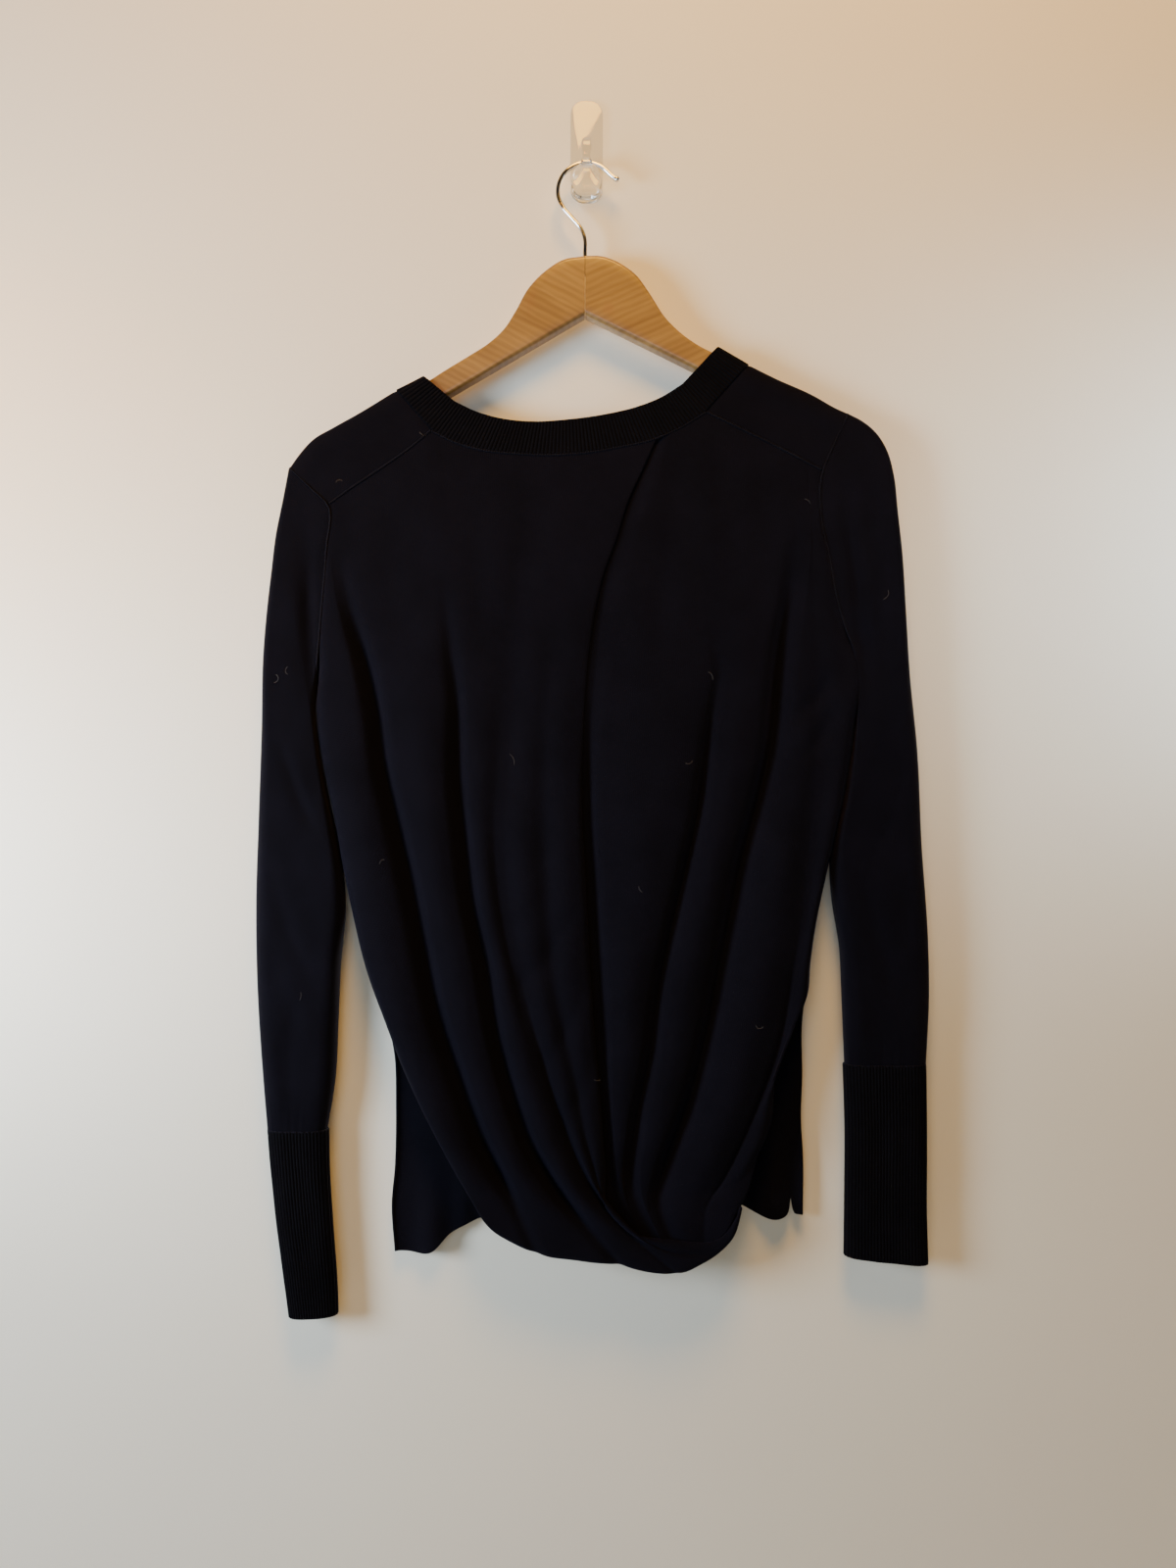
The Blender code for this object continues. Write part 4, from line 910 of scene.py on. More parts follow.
@dataclass
class FrontPanel:
    """The plain front panel, which carries over both shoulders to the yoke seams."""

    name: str = "front_panel"
    left: Route = ((-148.5, -662.7), (-144.8, -685), (-143.5, -727.1), (-144.4, -773.1),
                   (-146.7, -800), (-144.4, -836.2))
    right: Route = ((162, -672.3), (162.5, -701.8), (161.5, -736), (163, -763.5), (163, -808.7))
    hem: Route = ((-144.4, -836.2), (-117, -835.5), (-103.7, -823.5), (-80.6, -813.2), (-30, -806),
                  (40, -803), (118.4, -802.8), (126, -807.5), (142.2, -811), (151.5, -808.7),
                  (154.6, -797), (158.5, -808.7), (163, -808.7))
    flutes: tuple[Flute, ...] = (Flute(-117.0, -757.0, 17.0, 7.0), Flute(-82.0, -745.0, 12.0, -5.0),
                                 Flute(143.0, -742.0, 13.0, 7.0), Flute(125.0, -720.0, 10.0, -4.0))
    creases: tuple[Crease, ...] = (
        Crease(((-60, -300), (-74, -420), (-70, -560), (-84, -690)), 10.0, -3.6),
        Crease(((70, -300), (86, -430), (78, -580), (92, -720)), 11.0, -4.0),
        Crease(((0, -330), (8, -450), (-6, -600), (4, -760)), 13.0, -3.0),
        Crease(((-172, -428), (-130, -480), (-96, -560)), 8.0, -3.2),
        Crease(((178, -426), (140, -490), (110, -570)), 8.0, -3.4),
        Crease(((-120, -330), (-128, -450), (-122, -600)), 9.0, -2.4),
        Crease(((128, -320), (136, -470), (124, -640)), 8.0, -2.6),
        Crease(((36, -420), (44, -560), (34, -720)), 7.0, -2.0),
        Crease(((-34, -400), (-40, -540), (-32, -700)), 8.0, -2.3),
    )
    cloth: Cloth = field(default_factory=lambda: Cloth(step=3.0))
    side_round: float = 9.0
    seed: float = 7.7
    seam_lift: float = 0.3
    hem_lift: float = 4.0
    lean: float = 1.2
    length: float = 620.0
    free: tuple[float, float] = (0.30, 0.05)
    armhole: tuple[float, float] = (0.76, 0.03)
    ripple_end: tuple[float, float] = (0.8, 0.1)
    soften_folds: tuple[int, int] = (4, 3)
    shoulder_columns: int = 36
    neck_columns: int = 61
    strip_rows: int = 48

    def body(self, top: Array) -> tuple[Array, Array]:
        """The panel below its top line: a Coons patch between hem, top line and two sides.

        A Coons patch is the sum of the two straight blends between opposite edges, less the
        straight blend of the four corners.

        Args:
            top: (x, z) places of the columns along the top.

        Returns:
            A grid of (x, z) places from hem to top, and a grid of depths.
        """
        rows = edged(self.length, self.cloth.step, last=False)
        left = along((ARMHOLE_LEFT[2:] + SIDE_LEFT[1:] + self.left[1:])[::-1], rows)
        right = along((ARMHOLE_RIGHT[2:] + SIDE_RIGHT[1:] + self.right[1:])[::-1], rows)
        chord = top[-1] - top[0]
        across = np.concatenate([[0], np.cumsum(np.linalg.norm(np.diff(top, axis=0), axis=1))])
        even = np.clip((top - top[0]) @ chord / (chord @ chord), 0, 1)
        share = rows[:, None] * even[None] + (1 - rows[:, None]) * (across / across[-1])[None]
        base = along(self.hem, share[0])
        v, u = rows[:, None, None], share[..., None]
        grid = ((1 - v) * base[None] + v * top[None] + (1 - u) * left[:, None] + u * right[:, None]
                - (1 - v) * ((1 - u) * base[0] + u * base[-1]) - v * ((1 - u) * top[0] + u * top[-1]))
        x, z = grid[..., 0], grid[..., 1]
        folds = -sum(flute.lift(x, z) for flute in self.flutes) + pressed(self.creases, x, z)
        calm = ease((self.ripple_end[0] - rows) / self.ripple_end[1])[:, None]
        folds = folds + self.cloth.ripple * swell(x, z, self.seed) * calm
        depth = FAR - self.lean * (1 - rows[:, None]) + soften(folds, *self.soften_folds)
        free = ease((self.free[0] - rows) / self.free[1])
        armhole = ease((rows - self.armhole[0]) / self.armhole[1])
        edge_depth = PLANE + self.seam_lift + self.hem_lift * free + (HUG - self.seam_lift) * armhole
        for side in (0, -1):
            distance = np.linalg.norm(grid - grid[:, side][:, None], axis=2)
            depth = depth + (edge_depth[:, None] - depth) * (1 - rounding(distance, self.side_round))
        return grid, depth

    def build(self) -> Object:
        """Body and both shoulder strips as one wall."""
        n, m = self.shoulder_columns, self.strip_rows
        shoulder = np.concatenate([[0.0, 0.002, 0.006, 0.014, 0.028, 0.05], np.linspace(0.08, 1.0, n - 6)])
        places = [along(route, 1 - shoulder) for route in (RIDGE_LEFT, YOKE_LEFT, RIDGE_RIGHT, YOKE_RIGHT)]
        left_strips = np.stack([over_arm(low, high, m) for low, high in zip(places[1], places[0])], axis=1)
        right_strips = np.stack([over_arm(low, high, m) for low, high in zip(places[3][::-1], places[2][::-1])],
                                axis=1)
        top = np.concatenate([places[1], NECK.front(self.neck_columns)[1:-1], places[3][::-1]])
        grid, depth = self.body(top)
        count = grid.shape[1]
        strips = np.full((m - 1, count, 3), np.nan)
        strips[:, :n] = left_strips[::-1][1:]
        strips[:, count - n:] = right_strips[::-1][1:]
        between = slice(n, count - n)
        strips[:, between] = with_depth(top[between], FAR)[None]
        middle = np.concatenate([with_depth(grid, depth), strips])
        keep = np.ones((len(middle) - 1, count - 1), bool)
        keep[len(grid) - 1:, n - 1:count - n] = False
        wall = edge_thickness(self.cloth.wall, *edge_distances(middle))
        return add_wall(self.name, middle, wall, keep=keep)


# ---------------------------------------------------------------- sleeves


@dataclass
class Sleeve:
    """A set-in sleeve that hangs flat, open at the armhole and at the cuff.

    Each row of the sections table holds a share of the length, the depth of the middle plane,
    half the depth, and the roundness of the outer and of the inner edge.
    """

    name: str
    side: Side
    outer: Route
    inner: Route
    armhole: Route
    creases: tuple[Crease, ...]
    far_creases: tuple[Crease, ...]
    seed: float
    sections: tuple = ((0.0, -15.0, 8.1, 3.5, 14.0), (0.06, -15.0, 8.8, 4.0, 13.0),
                       (0.15, -15.5, 10.5, 9.0, 12.0), (0.4, -17.0, 11.5, 14.0, 12.0),
                       (0.75, SLEEVE_PLANE, 10.5, 14.0, 13.0), (0.94, SLEEVE_PLANE, 10.0, 14.0, 14.0),
                       (1.0, SLEEVE_PLANE, 8.6, 14.0, 14.0))
    cloth: Cloth = field(default_factory=Cloth)
    length: float = 500.0
    face_points: int = 33
    close_shares: tuple[float, ...] = (0.003, 0.012, 0.988, 0.997)
    waves: tuple[float, float] = (30.0, 120.0)
    hold_over: float = 0.3
    hold_fade: float = 1.6
    seam: float = 1.0
    tuck: float = 3.5
    tuck_over: float = 0.08
    tuck_reach: float = 2.6
    tuck_end: tuple[float, float] = (0.2, 0.22)
    gathers: int = 13
    gather_depth: float = 0.55
    gather_start: tuple[float, float] = (0.93, 0.07)

    def face(self, rows: Array, shares: Array) -> Array:
        """The flat sleeve: straight across, but held to the armhole at the top.

        Args:
            rows: shares of the length.
            shares: shares of the width, from the outer edge in.

        Returns:
            A grid of (x, z) places.
        """
        outer, inner = along(self.outer, rows), along(self.inner, rows)
        seam = along(self.armhole, shares)
        chord = seam[0] + (seam[-1] - seam[0]) * shares[:, None]
        hold = np.clip(1 - rows / self.hold_over, 0, 1)[:, None, None] ** self.hold_fade
        face = outer[:, None] * (1 - shares[:, None]) + inner[:, None] * shares[:, None] + hold * (seam - chord)
        return face + np.array([self.side.value * self.seam, 0.0])

    def rings(self) -> Array:
        """Rings from the armhole to the cuff: near face out to in, then far face back.

        Each face stands half the section's depth off its plane, rounded to nothing at both
        edges. Slack folds in under the arm, and gathers run down into the cuff.
        """
        rows = edged(self.length, self.cloth.step)
        turn = np.linspace(0.0, 1.0, self.face_points)
        shares = np.unique(np.concatenate([0.5 - 0.5 * np.cos(np.pi * turn), self.close_shares]))
        face = self.face(rows, shares)
        length = np.linalg.norm(face[:, -1] - face[:, 0], axis=1)[:, None]
        plane, half, outer, inner = (column(self.sections, rows, k)[:, None] for k in (1, 2, 3, 4))
        bulge = half * rounding(shares * length, outer) * rounding((1 - shares) * length, inner)
        ends = np.sin(np.pi * shares)[None] ** 0.5
        start, over = self.gather_start
        gather = ease((rows - start) / over)[:, None] * np.cos(2 * np.pi * self.gathers * shares)[None]
        gather = self.gather_depth * gather * ends
        near_folds, far_folds = (
            soften(pressed(creases, face[..., 0], face[..., 1])
                   + self.cloth.ripple * swell(face[..., 0], face[..., 1], seed, *self.waves), 3, 1)
            for creases, seed in ((self.creases, self.seed), (self.far_creases, self.seed + 2)))
        near = with_depth(face, plane - bulge + ends * near_folds + gather)
        far = with_depth(face, plane + bulge - ends * far_folds - gather)
        tuck = self.tuck * ease(rows / self.tuck_over) * (1 - ease((rows - self.tuck_end[0]) / self.tuck_end[1]))
        reach = np.exp(-(((1 - shares) * length / self.tuck_reach) ** 2))
        towards = (face[:, 0] - face[:, -1]) / length
        near[..., ::2] += towards[:, None] * (tuck[:, None] * reach)[..., None]
        far[..., ::2] += towards[:, None] * (tuck[:, None] * reach)[..., None]
        return np.concatenate([near, far[:, -2:0:-1]], axis=1)

    def build(self) -> Object:
        """The finished tube of cloth."""
        rings = self.rings()
        wall = edge_thickness(self.cloth.wall, *edge_distances(rings))
        return add_wall(self.name, rings, wall, closed=True)


SLEEVE_LEFT = Sleeve(
    name="sleeve_left", side=Side.LEFT, seed=2.2,
    outer=((-221.6, -246.3), (-226.2, -271), (-231.3, -296.7), (-234.3, -321.7), (-238, -355.6),
           (-240.2, -384.2), (-241.5, -442.3), (-243.8, -507.8), (-245.8, -579.9), (-244.6, -638.7),
           (-240.9, -698.3), (-237.5, -741)),
    inner=((-201.6, -404.5), (-203.1, -430), (-198.3, -467.4), (-190.9, -502.7), (-182.5, -549),
           (-180.5, -575), (-184, -615.9), (-185.7, -655.7), (-188.2, -704.9), (-194, -741)),
    armhole=ARMHOLE_LEFT,
    creases=(Crease(((-210, -290), (-208, -350), (-204, -415)), 6.0, 3.6),
             Crease(((-226, -455), (-214, -492), (-200, -520)), 5.0, 1.8),
             Crease(((-236, -540), (-222, -590), (-204, -632)), 6.0, 1.2),
             Crease(((-214, -640), (-222, -690), (-220, -738)), 6.0, 1.2)),
    far_creases=(Crease(((-212, -300), (-210, -380), (-206, -440)), 7.0, 2.0),
                 Crease(((-230, -520), (-214, -570), (-200, -610)), 6.0, 1.4)),
)

SLEEVE_RIGHT = Sleeve(
    name="sleeve_right", side=Side.RIGHT, seed=5.6,
    outer=((195, -206), (203.4, -210.2), (215.2, -219.7), (223.2, -232.2), (228.4, -250.6),
           (231.3, -277.6), (234.3, -306.3), (237.2, -352.6), (240.2, -399.7), (246, -458.5),
           (249, -524), (254.1, -599.8), (254.9, -638.7), (252.7, -692)),
    inner=((207.2, -395), (201.3, -438.7), (191.9, -497.5), (182.2, -543.9), (183.4, -566.7),
           (189.4, -606.4), (190.9, -638.7), (193, -692)),
    armhole=ARMHOLE_RIGHT,
    creases=(Crease(((192, -252), (199, -318), (208, -398)), 5.0, 4.0),
             Crease(((214, -262), (219, -330), (222, -410)), 6.0, 2.6),
             Crease(((205, -560), (216, -600), (226, -640)), 6.0, 2.2),
             Crease(((200, -362), (207, -384), (211, -410)), 6.0, 4.5),
             Crease(((196, -372), (206, -376), (219, -372)), 4.0, 2.4),
             Crease(((236, -450), (228, -500), (214, -540)), 6.0, 1.4)),
    far_creases=(Crease(((216, -280), (220, -360), (222, -430)), 7.0, 2.0),
                 Crease(((240, -540), (226, -590), (210, -630)), 6.0, 1.4)),
)


# ---------------------------------------------------------------- ribs


@dataclass(frozen=True)
class Rib:
    """Fine one-by-one rib: pitch and height of its ridges, and samples across each."""

    pitch: float = 2.35
    rise: float = 0.7
    samples: int = 8
    wall: float = RIB_WALL
    edge: float = 0.8
    hollow: float = 0.25

    def add(self, name: str, rings: Array, away_from: Array) -> Object:
        """A ribbed tube: ridges outside as a flattened cosine, and shallower ones inside.

        Args:
            name: the piece's name.
            rings: middle surface as rows of closed rings, a whole number of ribs round.
            away_from: places that the outside faces away from.

        Returns:
            The new object.
        """
        normals = grid_normals(rings, closed=True)
        facing = np.sum(normals * (rings - away_from), axis=2)
        if np.median(facing) < 0:
            normals = -normals
        phase = 2 * np.pi * np.arange(rings.shape[1]) / self.samples
        ridge = 0.5 + 0.5 * np.cos(phase)
        ridge = np.sqrt(ridge)[None, :, None]
        run = np.linalg.norm(np.diff(rings, axis=0), axis=2).mean(axis=1)
        at = np.concatenate([[0.0], np.cumsum(run)])
        edge = np.minimum(rounding(at, self.edge), rounding(at[-1] - at, self.edge))[:, None, None]
        body = self.wall * (0.35 + 0.65 * edge)
        outer = rings + normals * (0.5 * body + self.rise * ridge * (0.3 + 0.7 * edge))
        inner = rings - normals * (0.5 * body - self.hollow * (1 - ridge) * edge)
        return close_wall(name, outer, inner, rings, closed=True, degrees=75.0)


@dataclass
class Collar:
    """The rib band round the neck."""

    name: str = "collar"
    rib: Rib = field(default_factory=Rib)
    ribs_high: float = 10
    step: float = 1.6
    middle_z: float = -215.0

    def rings(self) -> Array:
        """Rings from the neck seam to the top edge, with the same ribs in each of four stretches."""
        seam, top = NECK.seam(), NECK.top()
        counts = [self.rib.samples * int(round(length_of(edge) / self.rib.pitch)) for edge in top]
        low = np.concatenate([on_line(edge, np.arange(n) / n) for edge, n in zip(seam, counts)])
        high = np.concatenate([on_line(edge, np.arange(n) / n) for edge, n in zip(top, counts)])
        span = high - low
        low = low + span / np.linalg.norm(span, axis=1, keepdims=True) * SEAM
        rise = edged(self.rib.pitch * self.ribs_high, self.step)[:, None, None]
        return low * (1 - rise) + high * rise

    def build(self) -> Object:
        """The finished band."""
        centre = np.array([0.5 * (YOKE_LEFT[0][0] + YOKE_RIGHT[0][0]), PLANE, self.middle_z])
        return self.rib.add(self.name, self.rings(), centre)


@dataclass
class Cuff:
    """A long rib cuff that narrows to the wrist."""

    name: str
    side: Side
    outer: Route
    inner: Route
    rib: Rib = field(default_factory=Rib)
    depth: float = SLEEVE_PLANE
    half_depth: tuple[float, float] = (8.6, 7.0)
    roundness: float = 14.0
    creases: tuple[Crease, ...] = ()
    length: float = 140.0
    step: float = 2.6
    ring_points: int = 480
    ripple: float = 0.35
    seed: float = 3.1
    waves: tuple[float, float] = (24.0, 90.0)

    def ring(self, outer: Array, inner: Array, half: float, count: int) -> Array:
        """A flattened ring between an outer and an inner place, at even steps.

        Args:
            outer: (x, z) place of the outer edge.
            inner: (x, z) place of the inner edge.
            half: half the depth in its middle.
            count: how many points to give.

        Returns:
            The ring's points.
        """
        turn = np.linspace(0, 2 * np.pi, self.ring_points + 1)[:-1]
        share = 0.5 * (1 - np.cos(turn))
        length = np.linalg.norm(inner - outer)
        bulge = rounding(share * length, self.roundness) * rounding((1 - share) * length, self.roundness)
        places = outer + share[:, None] * (inner - outer)
        ring = with_depth(places, self.depth - np.sign(np.sin(turn)) * half * bulge)
        return on_line(np.vstack([ring, ring[:1]]), np.arange(count) / count)

    def rings(self) -> Array:
        """Rings from the sleeve to the wrist, with slow unevenness between their ends."""
        rows = edged(self.length, self.step)
        outer, inner = along(self.outer, rows), along(self.inner, rows)
        half = np.interp(rows, (0, 1), self.half_depth)
        k = len(rows) // 8
        girth = length_of(self.ring(outer[k], inner[k], float(half[1]), self.ring_points))
        count = self.rib.samples * int(round(girth / self.rib.pitch))
        rings = np.stack([self.ring(a, b, float(h), count) for a, b, h in zip(outer, inner, half)])
        rings[..., 0] += self.side.value * SEAM
        press = pressed(self.creases, rings[..., 0], rings[..., 2])
        uneven = self.ripple * swell(rings[..., 0], rings[..., 2], self.seed, *self.waves)
        press = press + uneven * ease(rows / 0.1)[:, None]
        rings[..., 1] -= np.sign(rings[..., 1] - self.depth) * press
        return rings

    def build(self) -> Object:
        """The finished cuff."""
        rings = self.rings()
        return self.rib.add(self.name, rings, rings.mean(axis=1, keepdims=True))


CUFF_LEFT = Cuff(
    name="cuff_left", side=Side.LEFT,
    outer=((-237.5, -741), (-235, -770.4), (-230.6, -813.1), (-226.2, -846.2), (-221.5, -882)),
    inner=((-194, -741), (-193.5, -770.4), (-190.9, -813.1), (-187.5, -862.3), (-187, -880)),
    creases=(Crease(((-218, -760), (-206, -800), (-204, -850)), 6.0, 0.9),))

CUFF_RIGHT = Cuff(
    name="cuff_right", side=Side.RIGHT,
    outer=((252.7, -692), (253.4, -737.3), (253.4, -803.5), (254.5, -842.5)),
    inner=((193, -692), (194.5, -740), (194.2, -790), (193.6, -836)),
    creases=(Crease(((214, -700), (222, -760), (218, -820)), 7.0, 0.9),
             Crease(((238, -710), (236, -770), (240, -820)), 6.0, 0.7)))


# ---------------------------------------------------------------- sewing and lint

LOOP_STEPS = 5
SEAM_SIDES = 7
FIBRE_SIDES = 5
WIRE_SIDES = 24


@dataclass(frozen=True)
class Seam:
    """A linked seam that stands up as a row of small knit loops along a line."""

    name: str
    line: Array
    radius: float = 1.15
    pitch: float = 1.9

    def build(self) -> Object:
        """A tube whose radius swells once for each loop."""
        length = length_of(self.line)
        loops = max(3, int(round(length / self.pitch)))
        steps = np.arange(loops * LOOP_STEPS + 1)
        path = on_line(self.line, steps / steps[-1])
        beat = 0.5 - 0.5 * np.cos(2 * np.pi * steps / LOOP_STEPS)
        ends = rounding(np.minimum(steps, steps[::-1]) * self.pitch / LOOP_STEPS, 1.2)
        radii = self.radius * (0.66 + 0.34 * beat) * np.maximum(ends, 0.25)
        return add_rings(self.name, tube(path, radii, SEAM_SIDES))


@dataclass(frozen=True)
class Fibre:
    """A pale lint fibre that clings to the cloth: where, how long, which way it lies, how it bends."""

    x: float
    z: float
    length: float
    degrees: float
    bend: float
    radius: float = 0.08

    def path(self, surface: Array) -> Array:
        """Its centre line, just above the nearest place of a surface."""
        flat = surface.reshape(-1, 3)
        nearest = np.argmin((flat[:, 0] - self.x) ** 2 + (flat[:, 2] - self.z) ** 2 + 0.2 * (flat[:, 1] + 60))
        t = np.linspace(-0.5, 0.5, 11)
        angle = math.radians(self.degrees) + self.bend * t
        x = self.x + self.length * np.cumsum(np.cos(angle)) / 11 - 0.5 * self.length * np.cos(angle[5])
        z = self.z + self.length * np.cumsum(np.sin(angle)) / 11 - 0.5 * self.length * np.sin(angle[5])
        gaps = (flat[None, :, 0] - x[:, None]) ** 2 + (flat[None, :, 2] - z[:, None]) ** 2
        near = flat[:, 1] < flat[nearest, 1] + 6.0
        depth = flat[near][np.argmin(gaps[:, near], axis=1), 1]
        depth = np.convolve(np.pad(depth, 2, mode="edge"), np.ones(5) / 5, mode="valid")
        return np.stack([x, depth - 0.5 * CLOTH - self.radius - 0.25 - 0.4 * (1 - (2 * t) ** 2), z], axis=1)


# ---------------------------------------------------------------- hanger and wall hook


@dataclass(frozen=True)
class HangerHalf:
    """One wooden half of the hanger: a bar between its crown line and its bottom line."""

    name: str
    side: Side
    crown: Route
    end: Route
    bottom_end: Route
    thickness: float = 14.0
    edge: float = 3.2
    seam_x: float = -1.1
    notch_z: float = -131.8
    fit: float = 0.3
    sharp: float = 40.0

    def build(self) -> Object:
        """Sections from the glued seam to the tip, each a rectangle with round corners."""
        start = self.seam_x + self.side.value * 0.5 * self.fit
        crown = along(((start, self.crown[0][1]),) + self.crown[1:] + self.end, np.linspace(0, 1, 121))
        line = np.array([(start, self.notch_z), *self.bottom_end])
        straight = on_line(line[:2], np.linspace(0, 1, 113))
        nose = along(np.concatenate([line[1:], crown[-1:]]), np.linspace(0, 1, 9))
        bottom = np.concatenate([straight, nose[1:]])
        bottom[-1] = crown[-1]
        shares = np.linspace(0, 1, 121)
        rings = self.sections(on_line(crown, shares), bottom, length_of(crown) * (1 - shares))
        return add_rings(self.name, rings[:-1], self.sharp)

    def sections(self, top: Array, low: Array, tip: Array) -> Array:
        """Rings round the bar.

        Args:
            top: crown places.
            low: bottom places.
            tip: how far each section lies from the tip.

        Returns:
            Sections by points round them.
        """
        height = np.linalg.norm(top - low, axis=1)
        half = 0.5 * self.thickness * (0.35 + 0.65 * rounding(tip, 9.0))
        radius = np.minimum(self.edge, 0.49 * np.minimum(height, 2 * half))
        angle = np.linspace(0, 0.5 * np.pi, 7)
        corner = np.stack([1 - np.cos(angle), 1 - np.sin(angle)], axis=1)
        rise = np.linspace(0, 1, 9)[1:-1]
        across = np.linspace(-1, 1, 6)[1:-1]
        parts = []
        for quarter, (high, near) in enumerate(((0, -1), (1, -1), (1, 1), (0, 1))):
            bend = corner[::-1] if quarter % 2 == 0 else corner
            up = radius[:, None] * bend[None, :, 1]
            out = half[:, None] - radius[:, None] * bend[None, :, 0]
            along_height = up if high == 0 else height[:, None] - up
            parts.append(np.stack([along_height, near * out], axis=-1))
            if quarter == 0:
                lift = radius[:, None] + (height - 2 * radius)[:, None] * rise
                parts.append(np.stack([lift, np.broadcast_to(-half[:, None], lift.shape)], axis=-1))
            elif quarter == 1:
                wide = (half - radius)[:, None] * across
                parts.append(np.stack([np.broadcast_to(height[:, None], wide.shape), wide], axis=-1))
            elif quarter == 2:
                lift = (height - radius)[:, None] - (height - 2 * radius)[:, None] * rise
                parts.append(np.stack([lift, np.broadcast_to(half[:, None], lift.shape)], axis=-1))
            else:
                wide = (half - radius)[:, None] * across[::-1]
                parts.append(np.stack([np.zeros(wide.shape), wide], axis=-1))
        ring = np.concatenate(parts, axis=1)
        up = (top - low) / np.maximum(height, 1e-6)[:, None]
        places = low[:, None] + ring[..., :1] * up[:, None]
        return with_depth(places, PLANE + ring[..., 1])


HANGER_LEFT = HangerHalf(
    name="hanger_left", side=Side.LEFT,
    crown=((-1.1, -87.6), (-17.9, -90.6), (-29.6, -97.8), (-43.5, -111.8), (-53, -128.9), (-61.1, -141.6),
           (-72.8, -152.7), (-86.6, -161.6), (-105.7, -173.2), (-121.5, -183), (-142.7, -191),
           (-171.5, -208.6), (-190, -218.9), (-203.9, -227)),
    end=((-211.5, -233.5), (-214, -242)),
    bottom_end=((-204, -250.5), (-211.5, -249)))

HANGER_RIGHT = HangerHalf(
    name="hanger_right", side=Side.RIGHT,
    crown=((-1.1, -87.6), (11.3, -87.8), (23, -92), (36.9, -101.6), (47.2, -115.5), (58.9, -133.7),
           (70.6, -145.4), (83.7, -154.6), (98, -161.8), (121.6, -172.1), (140.7, -181.6),
           (168.6, -194.1), (187, -204.4), (205, -212.6)),
    end=((212, -218), (214.5, -226.5)),
    bottom_end=((206, -234), (212.5, -232.5)))


@dataclass(frozen=True)
class HangerWire:
    """The hanger's hook: one bent wire with a bead at its tip."""

    name: str = "hanger_wire"
    radius: float = 1.65
    bead: float = 2.3
    centre: tuple[float, float] = (0.0, -37.2)
    bend: float = 21.7
    shank: Route = ((-1.1, -101), (-1.1, -84), (-1.6, -71.5), (-4.4, -64.8), (-10.6, -57.4), (-17.8, -48.9))
    arc: tuple[float, float] = (188.0, 48.0)
    tail: Route = ((20.6, -26.6), (24.7, -29))

    def line(self) -> Array:
        """Centre line: the shank, an arc of a circle from one angle to the other, and the tail."""
        turn = np.radians(np.linspace(*self.arc, 16))
        arc = np.asarray(self.centre) + self.bend * np.stack([np.cos(turn), np.sin(turn)], axis=1)
        route = np.concatenate([self.shank, arc, self.tail])
        places = along(route, np.linspace(0, 1, 261))
        return with_depth(places, PLANE)

    def build(self) -> Object:
        """The wire, with the bead as a ball at the end of its radii."""
        line = self.line()
        fine = np.concatenate([np.linspace(0, 1 - 6.0 / length_of(line), 240),
                               1 - np.linspace(5.7, 0.0, 24) / length_of(line)])
        line = on_line(line, fine)
        left = length_of(line) * (1 - fine)
        ball = np.sqrt(np.clip(self.bead**2 - (left - self.bead) ** 2, 0.0, None))
        radii = np.where(left < 2 * self.bead, np.maximum(ball, np.where(left > self.bead, self.radius, 0.12)),
                         self.radius)
        radii[0] = self.radius * 0.8
        return add_rings(self.name, tube(line, radii, WIRE_SIDES), 50.0)


